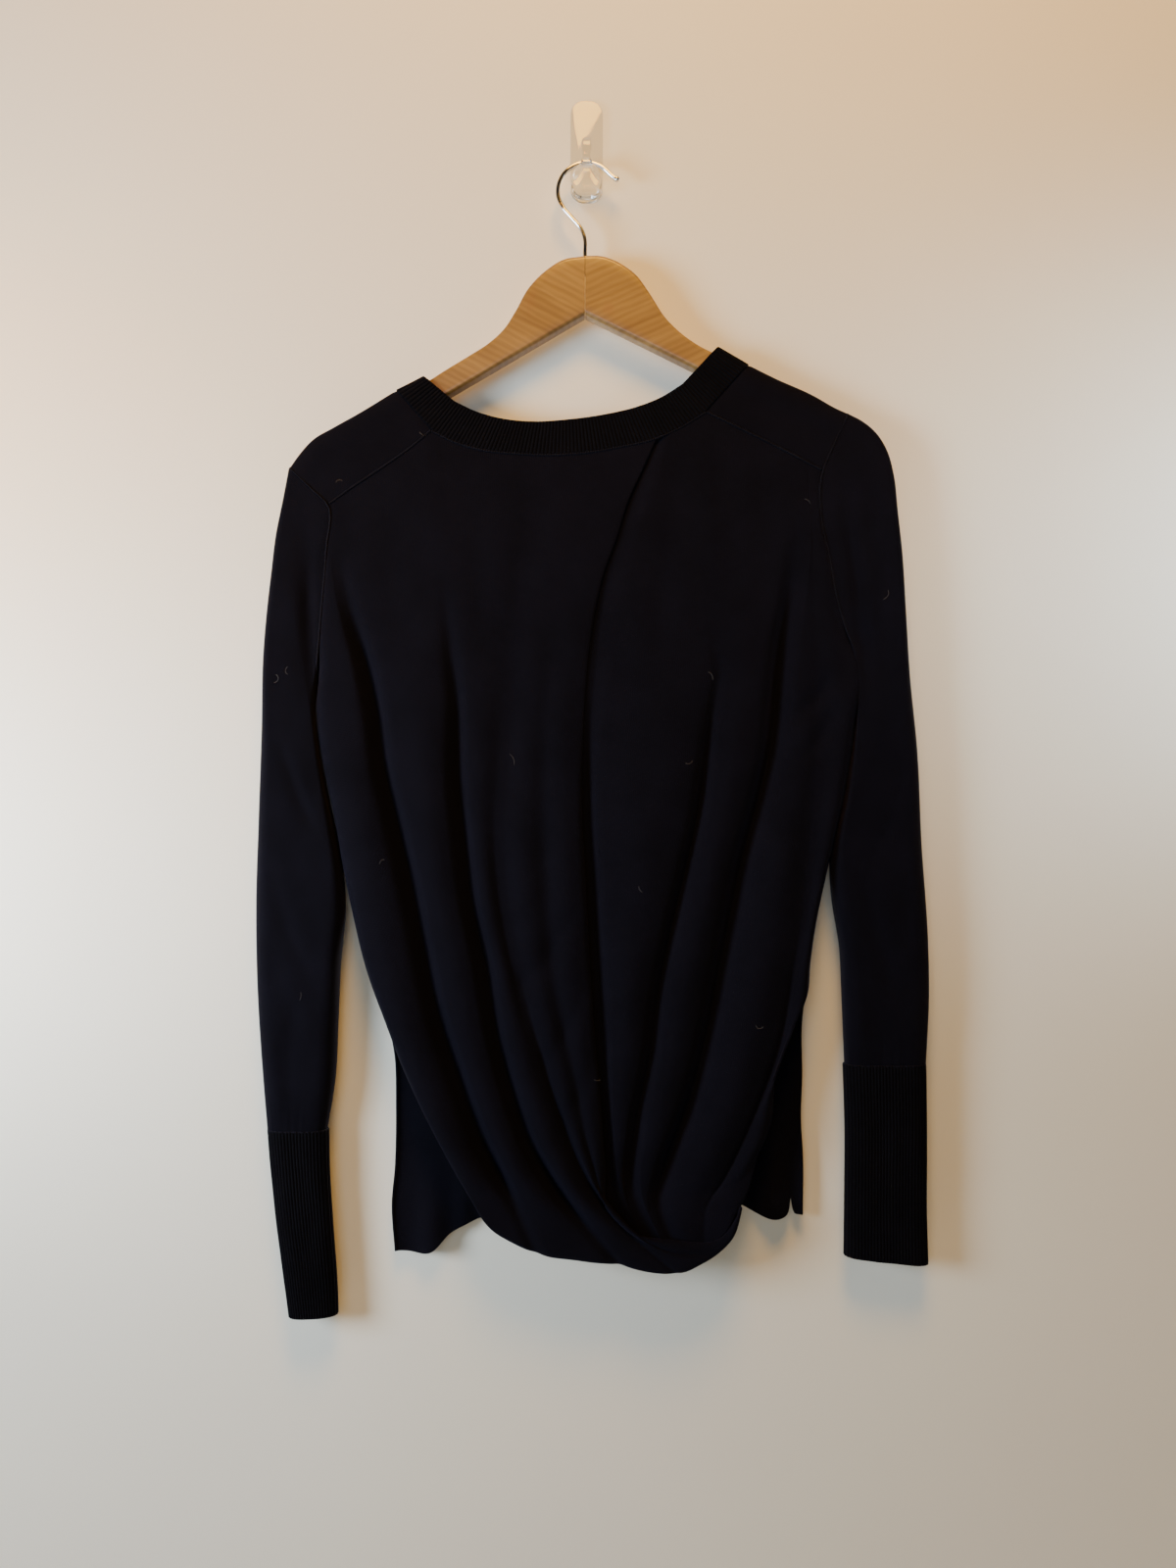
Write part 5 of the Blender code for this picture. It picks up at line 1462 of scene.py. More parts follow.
@dataclass(frozen=True)
class WallHook:
    """The clear wall hook: a rounded plate joined to a tongue that curves out and up."""

    name: str = "wall_hook"
    width: float = 24.8
    height: float = 77.0
    thickness: float = 3.5
    corner: float = 10.5
    edge: float = 0.9
    outer: Route = ((-1.5, -37.5), (-4.5, -37), (-10, -34.5), (-15.5, -30), (-20, -24),
                    (-22.8, -17), (-23.8, -9), (-23.2, -3), (-21.6, 0))
    inner: Route = ((-1.5, -7), (-3, -7), (-4.2, -11), (-7, -15), (-11, -17.3), (-15, -17.8),
                    (-17.2, -17.5), (-18.8, -14), (-19.3, -8), (-20.2, -2), (-21.6, 0))
    half_outline: Route = ((0, 1), (2.4, 0.2), (3.4, -3), (3.4, -16.5), (5, -19.3), (7, -20.9),
                           (9.5, -23.4), (11.2, -26.5), (11.6, -31), (10.6, -35), (7.5, -38.2), (0, -39))

    def plate(self) -> Object:
        """Rings of a rounded rectangle, drawn in along a quarter circle at the front edge."""
        turn = np.radians(np.linspace(0, 90, 15))
        ring = []
        for sx, sz, start in ((1, 1, 0), (-1, 1, 90), (-1, -1, 180), (1, -1, 270)):
            angle = turn + math.radians(start)
            ring.append(np.stack([np.full(15, sx * (0.5 * self.width - self.corner)),
                                  np.full(15, sz * (0.5 * self.height - self.corner)),
                                  np.cos(angle), np.sin(angle)], axis=1))
        ring = np.concatenate(ring)
        quarter = np.linspace(0, 0.5 * math.pi, 7)
        depths = np.concatenate([[0.0], -self.thickness + self.edge * (1 - np.sin(quarter))])
        insets = np.concatenate([[0.0], self.edge * (1 - np.cos(quarter))])
        rings = np.stack([with_depth(ring[:, :2] + ring[:, 2:] * (self.corner - inset), depth)
                          for depth, inset in zip(depths, insets)])
        return add_rings(self.name, rings, 35.0)

    def tongue(self) -> Object:
        """Sections between the outer and the inner side, each a rectangle rounded as a superellipse.

        A superellipse has the square root of |cos| and |sin| of its angle as coordinates here,
        to the power 2/5, so its sides are nearly flat and its corners round.
        """
        shares = np.concatenate([np.linspace(0, 0.97, 60), 1 - np.array([0.018, 0.009, 0.003])])
        outer = along(self.outer, shares)
        inner = along(self.inner, shares)
        angle = np.linspace(0, 2 * math.pi, 41)[:-1]
        ahead = np.sign(np.cos(angle)) * np.abs(np.cos(angle)) ** 0.4
        aside = np.sign(np.sin(angle)) * np.abs(np.sin(angle)) ** 0.4
        middle, half = 0.5 * (outer + inner), 0.5 * (outer - inner)
        places = middle[:, None] + half[:, None] * ahead[None, :, None]
        outline = np.asarray(self.half_outline)
        fine = along(outline, np.linspace(0, 1, 400))
        width = np.interp(-places[..., 1], -fine[:, 1], fine[:, 0])
        points = np.stack([width * aside[None], places[..., 0], places[..., 1]], axis=-1)
        return add_rings("tongue", points, 50.0)

    def build(self) -> Object:
        """Plate and tongue as one moulding."""
        plate, tongue = self.plate(), self.tongue()
        combine(plate, tongue, "UNION")
        plate.data.shade_smooth()
        plate.data.set_sharp_from_angle(angle=math.radians(30.0))
        return plate


def combine(obj: Object, other: Object, operation: str) -> None:
    """Applies an exact Boolean with another closed mesh, and removes that mesh.

    Args:
        obj: the object to change.
        other: the closed mesh that is joined to it or cut from it.
        operation: UNION or DIFFERENCE.
    """
    modifier = obj.modifiers.new(operation.lower(), "BOOLEAN")
    modifier.operation = operation
    modifier.solver = "EXACT"
    modifier.object = other
    bpy.context.view_layer.update()
    evaluated = obj.evaluated_get(bpy.context.evaluated_depsgraph_get())
    mesh = bpy.data.meshes.new_from_object(evaluated)
    obj.modifiers.clear()
    obj.data = mesh
    bpy.data.objects.remove(other, do_unlink=True)


# ---------------------------------------------------------------- materials


@dataclass(frozen=True)
class Finish:
    """Colours and fixed values of one woollen finish."""

    dark: Colour
    light: Colour
    roughness: float = 0.9
    specular: float = 0.05
    sheen: float = 0.025
    sheen_roughness: float = 0.40
    sheen_tint: Colour = (0.52, 0.44, 0.86)
    bump: float = 0.5
    relief: float = 0.00035


@dataclass(frozen=True)
class WoodFinish:
    """Satin varnish over honey-coloured wood with darker streaks and a few reddish patches."""

    deep: Colour = (0.17, 0.083, 0.020)
    pale: Colour = (0.315, 0.176, 0.048)
    streak: Colour = (0.11, 0.042, 0.010)
    streak_share: float = 0.30
    red: Colour = (0.21, 0.060, 0.018)
    red_share: float = 0.35
    coat: float = 0.35
    coat_roughness: float = 0.22
    coat_index: float = 1.5
    bump: tuple[float, float] = (0.18, 0.0003)


@dataclass(frozen=True)
class ClearFinish:
    """Clear plastic, with the tint of its shadow."""

    colour: Colour = (0.91, 0.895, 0.85)
    film: Colour = (0.90, 0.89, 0.86)
    roughness: float = 0.05
    index: float = 1.49


@dataclass(frozen=True)
class PaintFinish:
    """Matt wall paint between two close shades."""

    dark: Colour = (0.80, 0.750, 0.610)
    light: Colour = (0.85, 0.800, 0.655)
    roughness: float = 0.85
    specular: float = 0.25
    bump: tuple[float, float] = (0.10, 0.0006)


CHROME: Colour = (0.74, 0.73, 0.72)
CHROME_BUMP = (0.05, 0.0001)
LINT: Colour = (0.13, 0.12, 0.115)
WOOD = WoodFinish()
CLEAR = ClearFinish()
PAINT = PaintFinish()
KNIT_FINISH = Finish(dark=(0.0008, 0.0008, 0.0013), light=(0.0058, 0.0053, 0.0098))
RIB_FINISH = Finish(dark=(0.0007, 0.0007, 0.0010), light=(0.0042, 0.0039, 0.0058), sheen=0.020)
# Seam yarn lighter than the knit, with more sheen: painted highlight on the raised linked seams
SEAM_HIGHLIGHT_FINISH = Finish(dark=(0.0018, 0.0017, 0.0026), light=(0.0095, 0.0090, 0.0130), sheen=0.04)


class Net:
    """Adds nodes to a shader tree and links them."""

    def __init__(self, tree: Tree) -> None:
        """Starts with the tree as it is."""
        self.tree = tree
        self.count = 0

    def node(self, kind: str, inputs: dict | None = None, **settings: object) -> Node:
        """A node with its settings, whose inputs take a value or another node's socket.

        Args:
            kind: the node's type name.
            inputs: value or socket for each input, by name or number.
            settings: attributes of the node.

        Returns:
            The node.
        """
        node = self.tree.nodes.new(kind)
        node.location = (180.0 * self.count, 0.0)
        self.count += 1
        for name, value in settings.items():
            setattr(node, name, value)
        for name, value in (inputs or {}).items():
            if isinstance(value, Socket):
                self.tree.links.new(value, node.inputs[name])
            else:
                node.inputs[name].default_value = value
        return node

    def math(self, operation: str, *values: float | Socket) -> Socket:
        """Result of a Math node."""
        return self.node("ShaderNodeMath", dict(enumerate(values)), operation=operation).outputs[0]

    def ramp(self, value: Socket, low: float, high: float, to_low: float,
             to_high: float) -> Socket:
        """A value carried from one range to another, held at the ends."""
        names = {"Value": value, "From Min": low, "From Max": high, "To Min": to_low, "To Max": to_high}
        return self.node("ShaderNodeMapRange", names).outputs["Result"]

    def noise(self, vector: Socket, scale: float, detail: float = 2.0, rough: float = 0.5,
              warp: float = 0.0) -> Socket:
        """Value of a Noise Texture node."""
        names = {"Vector": vector, "Scale": scale, "Detail": detail, "Roughness": rough, "Distortion": warp}
        return self.node("ShaderNodeTexNoise", names).outputs["Fac"]

    def mix(self, share: float | Socket, one: Colour | Socket,
            two: Colour | Socket) -> Socket:
        """A colour between two colours.

        Args:
            share: how much of the second colour.
            one: the first colour.
            two: the second colour.

        Returns:
            The mixed colour's socket.
        """
        node = self.node("ShaderNodeMix", data_type="RGBA")
        for name, value in (("Factor_Float", share), ("A_Color", one), ("B_Color", two)):
            socket = next(s for s in node.inputs if s.identifier == name)
            if isinstance(value, Socket):
                self.tree.links.new(value, socket)
            else:
                socket.default_value = value if isinstance(value, (int, float)) else (*value, 1.0)
        return next(s for s in node.outputs if s.identifier == "Result_Color")


def group(name: str, inputs: Sequence[tuple[str, str, float | None]],
          outputs: Sequence[tuple[str, str]]) -> tuple[Net, Node, Node]:
    """An empty node group with named sockets.

    Args:
        name: the group's name.
        inputs: name, kind and default of each input.
        outputs: name and kind of each output.

    Returns:
        The net of its tree, its input node and its output node.
    """
    tree = bpy.data.node_groups.new(name, "ShaderNodeTree")
    kinds = {"value": "NodeSocketFloat", "vector": "NodeSocketVector", "colour": "NodeSocketColor"}
    for label, kind, default in inputs:
        socket = tree.interface.new_socket(label, in_out="INPUT", socket_type=kinds[kind])
        if default is not None:
            socket.default_value = default
    for label, kind in outputs:
        tree.interface.new_socket(label, in_out="OUTPUT", socket_type=kinds[kind])
    net = Net(tree)
    return net, net.node("NodeGroupInput"), net.node("NodeGroupOutput")


def close_group(net: Net, out: Node, **values: Socket) -> Tree:
    """Links the values to the group's outputs of those names, and returns its tree."""
    for name, value in values.items():
        net.tree.links.new(value, out.inputs[name])
    return net.tree


def jersey_group() -> Tree:
    """Plain knit: columns of V-shaped stitches.

    With s the distance from a column's middle, from 0 to 1 at its border, each leg of a V has
    the height 4 s (1 - s), times a wave that climbs the cloth by one course and leans with s.
    Fine noise roughens it as wool fuzz. The Shade output follows the stitch height, which paints shade into the
    hollows between stitches, and slow noise adds random tone to it.
    """
    net, inp, out = group("jersey knit", (("Cloth", "vector", None), ("Place", "vector", None),
                                          ("Wale", "value", 1.6), ("Course", "value", 1.25)),
                          (("Height", "value"), ("Shade", "value")))
    split = net.node("ShaderNodeSeparateXYZ", {0: inp.outputs["Cloth"]})
    waver = net.math("MULTIPLY", net.math("SUBTRACT", net.noise(inp.outputs["Cloth"], 0.22, 1.0), 0.5), 1.3)
    u = net.math("FRACT", net.math("DIVIDE", net.math("ADD", split.outputs["X"], waver), inp.outputs["Wale"]))
    s = net.math("MULTIPLY", net.math("ABSOLUTE", net.math("SUBTRACT", u, 0.5)), 2.0)
    leg = net.math("MULTIPLY", net.math("MULTIPLY", s, 4.0), net.math("SUBTRACT", 1.0, s))
    climb = net.math("ADD", net.math("DIVIDE", split.outputs["Y"], inp.outputs["Course"]),
                     net.math("MULTIPLY", s, 0.6))
    wave = net.math("SINE", net.math("MULTIPLY", climb, 2 * math.pi))
    stitch = net.math("MULTIPLY", leg, net.math("MULTIPLY_ADD", wave, 0.35, 0.65))
    fuzz = net.noise(inp.outputs["Place"], 1500.0, 3.0, 0.7)
    height = net.math("MULTIPLY_ADD", fuzz, 0.5, stitch)
    slow = net.noise(inp.outputs["Place"], 26.0, 3.0, 0.6)
    # Shade: painted shade, darker in the hollows between stitch legs, plus slow random tone
    shade = net.math("MULTIPLY_ADD", stitch, 0.35, net.math("MULTIPLY_ADD", slow, 0.28, 0.19))
    return close_group(net, out, Height=height, Shade=shade)


def rib_group() -> Tree:
    """Rib knit: courses across the ridges that the mesh has already, with wool fuzz, a slight painted shade in the
    hollows between courses and slow random tone.
    """
    net, inp, out = group("rib knit", (("Cloth", "vector", None), ("Place", "vector", None),
                                       ("Course", "value", 1.2)), (("Height", "value"), ("Shade", "value")))
    split = net.node("ShaderNodeSeparateXYZ", {0: inp.outputs["Cloth"]})
    waver = net.math("MULTIPLY", net.math("SUBTRACT", net.noise(inp.outputs["Cloth"], 0.3, 1.0), 0.5), 1.2)
    climb = net.math("DIVIDE", net.math("ADD", split.outputs["Y"], waver), inp.outputs["Course"])
    wave = net.math("SINE", net.math("MULTIPLY", climb, 2 * math.pi))
    fuzz = net.noise(inp.outputs["Place"], 1500.0, 3.0, 0.7)
    height = net.math("MULTIPLY_ADD", fuzz, 0.5, net.math("MULTIPLY_ADD", wave, 0.3, 0.3))
    slow = net.noise(inp.outputs["Place"], 30.0, 3.0, 0.6)
    # Shade: slight painted shade, darker in the hollows between courses, plus slow random tone
    shade = net.math("MULTIPLY_ADD", wave, 0.08, net.math("MULTIPLY_ADD", slow, 0.30, 0.33))
    return close_group(net, out, Height=height, Shade=shade)


def grain_group() -> Tree:
    """Wood grain that runs along the X axis.

    The place is squeezed along X, warped by slow noise and read as thin bands. Fine streaks,
    mottling and a few reddish patches lie over them.
    """
    net, inp, out = group("honey grain", (("Place", "vector", None), ("Lean", "value", 0.0)),
                          (("Color", "colour"), ("Roughness", "value"), ("Height", "value")))
    turned = net.node("ShaderNodeVectorRotate", {"Vector": inp.outputs["Place"], "Angle": inp.outputs["Lean"]},
                      rotation_type="Y_AXIS")
    squeezed = net.node("ShaderNodeMapping", {"Vector": turned.outputs[0], "Scale": (9.0, 60.0, 60.0)})
    bands = net.node("ShaderNodeTexWave", {"Vector": squeezed.outputs[0], "Scale": 1.1, "Distortion": 5.0,
                                           "Detail": 3.0, "Detail Scale": 1.2, "Detail Roughness": 0.6},
                     wave_type="BANDS", bands_direction="Z").outputs["Fac"]
    streaks_at = net.node("ShaderNodeMapping", {"Vector": turned.outputs[0], "Scale": (40.0, 700.0, 700.0)})
    streaks = net.noise(streaks_at.outputs[0], 1.0, 4.0, 0.65)
    mottle = net.noise(squeezed.outputs[0], 0.9, 3.0, 0.55, 0.6)
    figure = net.ramp(net.math("ADD", net.math("MULTIPLY", bands, 0.16), net.math("MULTIPLY", mottle, 0.95)),
                      0.30, 0.80, 0.0, 1.0)
    colour = net.mix(figure, WOOD.deep, WOOD.pale)
    colour = net.mix(net.ramp(streaks, 0.5, 0.74, 0.0, WOOD.streak_share), colour, WOOD.streak)
    red = net.ramp(net.noise(inp.outputs["Place"], 34.0, 2.0, 0.5), 0.60, 0.74, 0.0, WOOD.red_share)
    colour = net.mix(red, colour, WOOD.red)
    roughness = net.ramp(streaks, 0.3, 0.7, 0.30, 0.46)
    height = net.math("ADD", net.math("MULTIPLY", streaks, 0.6), net.math("MULTIPLY", bands, 0.2))
    return close_group(net, out, Color=colour, Roughness=roughness, Height=height)


def drawn_group() -> Tree:
    """Bright drawn wire: faint lines and small dull places."""
    net, inp, out = group("drawn wire", (("Place", "vector", None),), (("Roughness", "value"), ("Height", "value")))
    dull = net.noise(inp.outputs["Place"], 160.0, 3.0, 0.6)
    fine = net.noise(inp.outputs["Place"], 2600.0, 2.0, 0.6)
    return close_group(net, out, Roughness=net.ramp(dull, 0.35, 0.75, 0.07, 0.24), Height=fine)


def plaster_group() -> Tree:
    """Smooth painted wall: slow unevenness of shade and a faint orange peel."""
    net, inp, out = group("smooth plaster", (("Place", "vector", None),), (("Shade", "value"), ("Height", "value")))
    slow = net.noise(inp.outputs["Place"], 1.6, 3.0, 0.5)
    fine = net.noise(inp.outputs["Place"], 180.0, 3.0, 0.55)
    return close_group(net, out, Shade=slow, Height=fine)


def new_material(name: str) -> tuple[Net, Node, Node]:
    """A material with one Principled shader.

    Returns:
        Its net, its shader and its output node.
    """
    material = bpy.data.materials.new(name)
    material.use_nodes = True
    tree = material.node_tree
    return Net(tree), tree.nodes["Principled BSDF"], tree.nodes["Material Output"]


def material_of(net: Net) -> Material:
    """The material whose tree the net belongs to."""
    return next(m for m in bpy.data.materials if m.use_nodes and m.node_tree == net.tree)


def set_values(shader: Node, **values: float | tuple) -> None:
    """Sets the shader's own sockets. An underscore in a name stands for a space."""
    for name, value in values.items():
        shader.inputs[name.replace("_", " ")].default_value = value


def bumped(net: Net, shader: Node, height: Socket, strength: float,
           distance: float) -> None:
    """Feeds the shader's normal from a height."""
    bump = net.node("ShaderNodeBump", {"Strength": strength, "Distance": distance, "Height": height})
    net.tree.links.new(bump.outputs["Normal"], shader.inputs["Normal"])


def from_group(name: str, tree: Tree, bump: tuple[float, float],
               **links: str) -> tuple[Net, Node, Node, Node]:
    """A material whose shader reads a group on the piece's own Object coordinates.

    Args:
        name: the material's name.
        tree: the group, with a Place input and a Height output.
        bump: strength and distance of the bump from that height.
        links: the group's output for each of the shader's sockets.

    Returns:
        Its net, its shader, its output node and the group's node.
    """
    net, shader, out = new_material(name)
    looks = net.node("ShaderNodeGroup", node_tree=tree)
    net.tree.links.new(net.node("ShaderNodeTexCoord").outputs["Object"], looks.inputs["Place"])
    for socket, output in links.items():
        net.tree.links.new(looks.outputs[output], shader.inputs[socket.replace("_", " ")])
    bumped(net, shader, looks.outputs["Height"], *bump)
    return net, shader, out, looks


def wool(name: str, finish: Finish, knit: Tree, on_cloth: bool = True) -> Material:
    """A woollen material from a knit group.

    Args:
        name: the material's name.
        finish: its colours and values.
        knit: the group of its stitches.
        on_cloth: True for a piece with unrolled cloth places, False for one without.

    Returns:
        The material.
    """
    net, shader, _, looks = from_group(name, knit, (finish.bump, finish.relief))
    if on_cloth:
        cloth = net.node("ShaderNodeUVMap", uv_map="cloth").outputs["UV"]
    else:
        place = net.node("ShaderNodeTexCoord").outputs["Object"]
        cloth = net.node("ShaderNodeVectorMath", {0: place, "Scale": 1 / MM}, operation="SCALE").outputs[0]
    net.tree.links.new(cloth, looks.inputs["Cloth"])
    # Dark and light mixed by the group's Shade: painted shade in the stitch hollows, with random tone
    shade = net.ramp(looks.outputs["Shade"], 0.2, 0.75, 0.0, 1.0)
    net.tree.links.new(net.mix(shade, finish.dark, finish.light), shader.inputs["Base Color"])
    set_values(shader, Roughness=finish.roughness, Specular_IOR_Level=finish.specular, Sheen_Weight=finish.sheen,
               Sheen_Roughness=finish.sheen_roughness, Sheen_Tint=(*finish.sheen_tint, 1.0))
    return material_of(net)


def honey_wood(name: str, grain: Tree, lean: float) -> Material:
    """Satin varnished wood whose grain leans with the arm.

    Args:
        name: the material's name.
        grain: the group of its grain.
        lean: the arm's angle in radians.

    Returns:
        The material.
    """
    net, shader, _, looks = from_group(name, grain, WOOD.bump, Base_Color="Color", Roughness="Roughness")
    looks.inputs["Lean"].default_value = lean
    set_values(shader, Coat_Weight=WOOD.coat, Coat_Roughness=WOOD.coat_roughness, Coat_IOR=WOOD.coat_index)
    return material_of(net)


def bright_wire(drawn: Tree) -> Material:
    """Polished chrome."""
    net, shader, _, _ = from_group("bright wire", drawn, CHROME_BUMP, Roughness="Roughness")
    set_values(shader, Base_Color=(*CHROME, 1.0), Metallic=1.0)
    return material_of(net)


def clear_plastic() -> Material:
    """Clear plastic. Shadow rays and bounced light pass as through tinted film, so the wall stays lit."""
    net, shader, out = new_material("clear plastic")
    set_values(shader, Base_Color=(*CLEAR.colour, 1.0), Roughness=CLEAR.roughness, IOR=CLEAR.index,
               Transmission_Weight=1.0)
    film = net.node("ShaderNodeBsdfTransparent", {"Color": (*CLEAR.film, 1.0)})
    path = net.node("ShaderNodeLightPath")
    passing = net.math("MAXIMUM", path.outputs["Is Shadow Ray"], path.outputs["Is Diffuse Ray"])
    blend = net.node("ShaderNodeMixShader", {0: passing, 1: shader.outputs[0], 2: film.outputs[0]})
    net.tree.links.new(blend.outputs[0], out.inputs["Surface"])
    return material_of(net)


def lint() -> Material:
    """Pale dusty fibres."""
    net, shader, _ = new_material("pale lint")
    set_values(shader, Base_Color=(*LINT, 1.0), Roughness=0.85, Sheen_Weight=0.2)
    return material_of(net)


def wall_paint(plaster: Tree) -> Material:
    """Matt wall paint, seen from the front only."""
    net, shader, out, looks = from_group("wall paint", plaster, PAINT.bump)
    shade = net.ramp(looks.outputs["Shade"], 0.3, 0.7, 0.0, 1.0)
    net.tree.links.new(net.mix(shade, PAINT.dark, PAINT.light), shader.inputs["Base Color"])
    set_values(shader, Roughness=PAINT.roughness, Specular_IOR_Level=PAINT.specular)
    clear = net.node("ShaderNodeBsdfTransparent")
    back = net.node("ShaderNodeNewGeometry").outputs["Backfacing"]
    blend = net.node("ShaderNodeMixShader", {0: back, 1: shader.outputs[0], 2: clear.outputs[0]})
    net.tree.links.new(blend.outputs[0], out.inputs["Surface"])
    return material_of(net)


# ---------------------------------------------------------------- stage


@dataclass(frozen=True)
class Lamp:
    """A soft area light that looks at a place on the sweater."""

    name: str
    place: tuple[float, float, float]
    target: tuple[float, float, float]
    size: float
    power: float
    colour: Colour
    spread: float = 180.0

    def build(self) -> None:
        """Adds the light to the scene."""
        data = bpy.data.lights.new(self.name, "AREA")
        data.shape = "DISK"
        data.size = self.size
        data.energy = self.power
        data.color = self.colour
        data.spread = math.radians(self.spread)
        lamp = bpy.data.objects.new(self.name, data)
        aim = (Vector(self.target) - Vector(self.place)).to_track_quat("-Z", "Y")
        lamp.matrix_world = Matrix.Translation(self.place) @ aim.to_matrix().to_4x4()
        bpy.context.scene.collection.objects.link(lamp)


@dataclass(frozen=True)
class Stage:
    """Plain pale wall, soft lights and the camera."""

    wall_depth: float = 0.0006
    half_width: float = 3.2
    top: float = 2.4
    floor: float = -2.1
    reach: float = 4.2
    bend: float = 0.5
    wall_points: int = 9
    lamps: tuple[Lamp, ...] = (
        Lamp("ceiling lamp", (0.05, -0.80, 0.82), (0.0, 0.0, 0.0), 0.55, 25.0, (1.0, 0.50, 0.05)),
        Lamp("warm pool", (-0.90, -0.42, -0.10), (-0.54, 0.0, -0.24), 0.25, 0.7, (1.0, 0.46, 0.03), 55.0),
        Lamp("window", (-1.00, -0.66, -0.47), (-0.20, 0.0, -0.52), 0.50, 20.0, (0.66, 0.80, 1.0)),
        Lamp("left pool", (-0.90, -0.42, -0.56), (-0.54, 0.0, -0.54), 0.25, 1.2, (0.86, 0.90, 1.0), 55.0),
        Lamp("right pool", (0.90, -0.42, -0.26), (0.54, 0.0, -0.30), 0.25, 1.0, (0.60, 0.78, 1.0), 55.0),
        Lamp("soft front", (-0.30, -1.60, -0.30), (-0.05, 0.0, -0.36), 1.00, 6.0, (0.68, 0.82, 1.0)),
        Lamp("far key", (1.05, 1.35, 0.45), (0.0, 0.0, -0.45), 0.7, 85.0, (1.0, 0.96, 0.92)),
        Lamp("far fill", (-1.3, 1.7, -0.2), (0.0, 0.0, -0.5), 1.2, 38.0, (0.86, 0.92, 1.0)),
    )
    world: Colour = (0.66, 0.63, 0.62)
    world_strength: float = 0.03
    backdrop_strength: float = 0.85
    camera_place: tuple[float, float, float] = (0.0011, -0.867, -0.4828)
    lens: float = 26.0

    def wall(self, paint: Material) -> Object:
        """An upright wall that bends in a quarter circle to a floor far below."""
        turn = np.linspace(0, 0.5 * math.pi, 17)
        n = self.wall_points
        upright = np.linspace(self.top, self.floor + self.bend, n)
        y = np.concatenate([np.full(n, self.wall_depth), self.wall_depth - self.bend * (1 - np.cos(turn[1:])),
                            [self.wall_depth - self.reach]])
        z = np.concatenate([upright, self.floor + self.bend * (1 - np.sin(turn[1:])), [self.floor]])
        x = np.linspace(-self.half_width, self.half_width, n)
        grid = np.stack([np.broadcast_to(values, (len(y), n)) for values in (x, y[:, None], z[:, None])], axis=-1)
        faces, _ = grid_faces(len(y), n)
        mesh = bpy.data.meshes.new("wall")
        mesh.from_pydata(grid.reshape(-1, 3), [], faces[:, ::-1].tolist())
        mesh.shade_smooth()
        mesh.materials.append(paint)
        wall = bpy.data.objects.new("wall", mesh)
        bpy.context.scene.collection.objects.link(wall)
        wall.visible_shadow = False
        return wall

    def build(self, paint: Material) -> None:
        """Wall, lights, world and camera. The backdrop looks pale but lights no more than the world does."""
        self.wall(paint)
        for lamp in self.lamps:
            lamp.build()
        world = bpy.data.worlds.new("pale room")
        world.use_nodes = True
        background = world.node_tree.nodes["Background"]
        background.inputs["Color"].default_value = (*self.world, 1.0)
        net = Net(world.node_tree)
        seen = net.node("ShaderNodeLightPath").outputs["Is Camera Ray"]
        strength = net.math("MULTIPLY_ADD", seen, self.backdrop_strength, self.world_strength)
        world.node_tree.links.new(strength, background.inputs["Strength"])
        bpy.context.scene.world = world
        data = bpy.data.cameras.new("camera")
        data.sensor_width = 36.0
        data.lens = self.lens
        camera = bpy.data.objects.new("camera", data)
        camera.location = self.camera_place
        camera.rotation_euler = (math.radians(90.0), 0.0, 0.0)
        bpy.context.scene.collection.objects.link(camera)
        bpy.context.scene.camera = camera


# ---------------------------------------------------------------- the whole object


@dataclass(frozen=True)
class Cut:
    """Flat cut of one hung sheet, in metres, with its area, since it isn't a rectangle."""

    flat: tuple[float, float]
    area: float
    rests_on: tuple[str, ...]


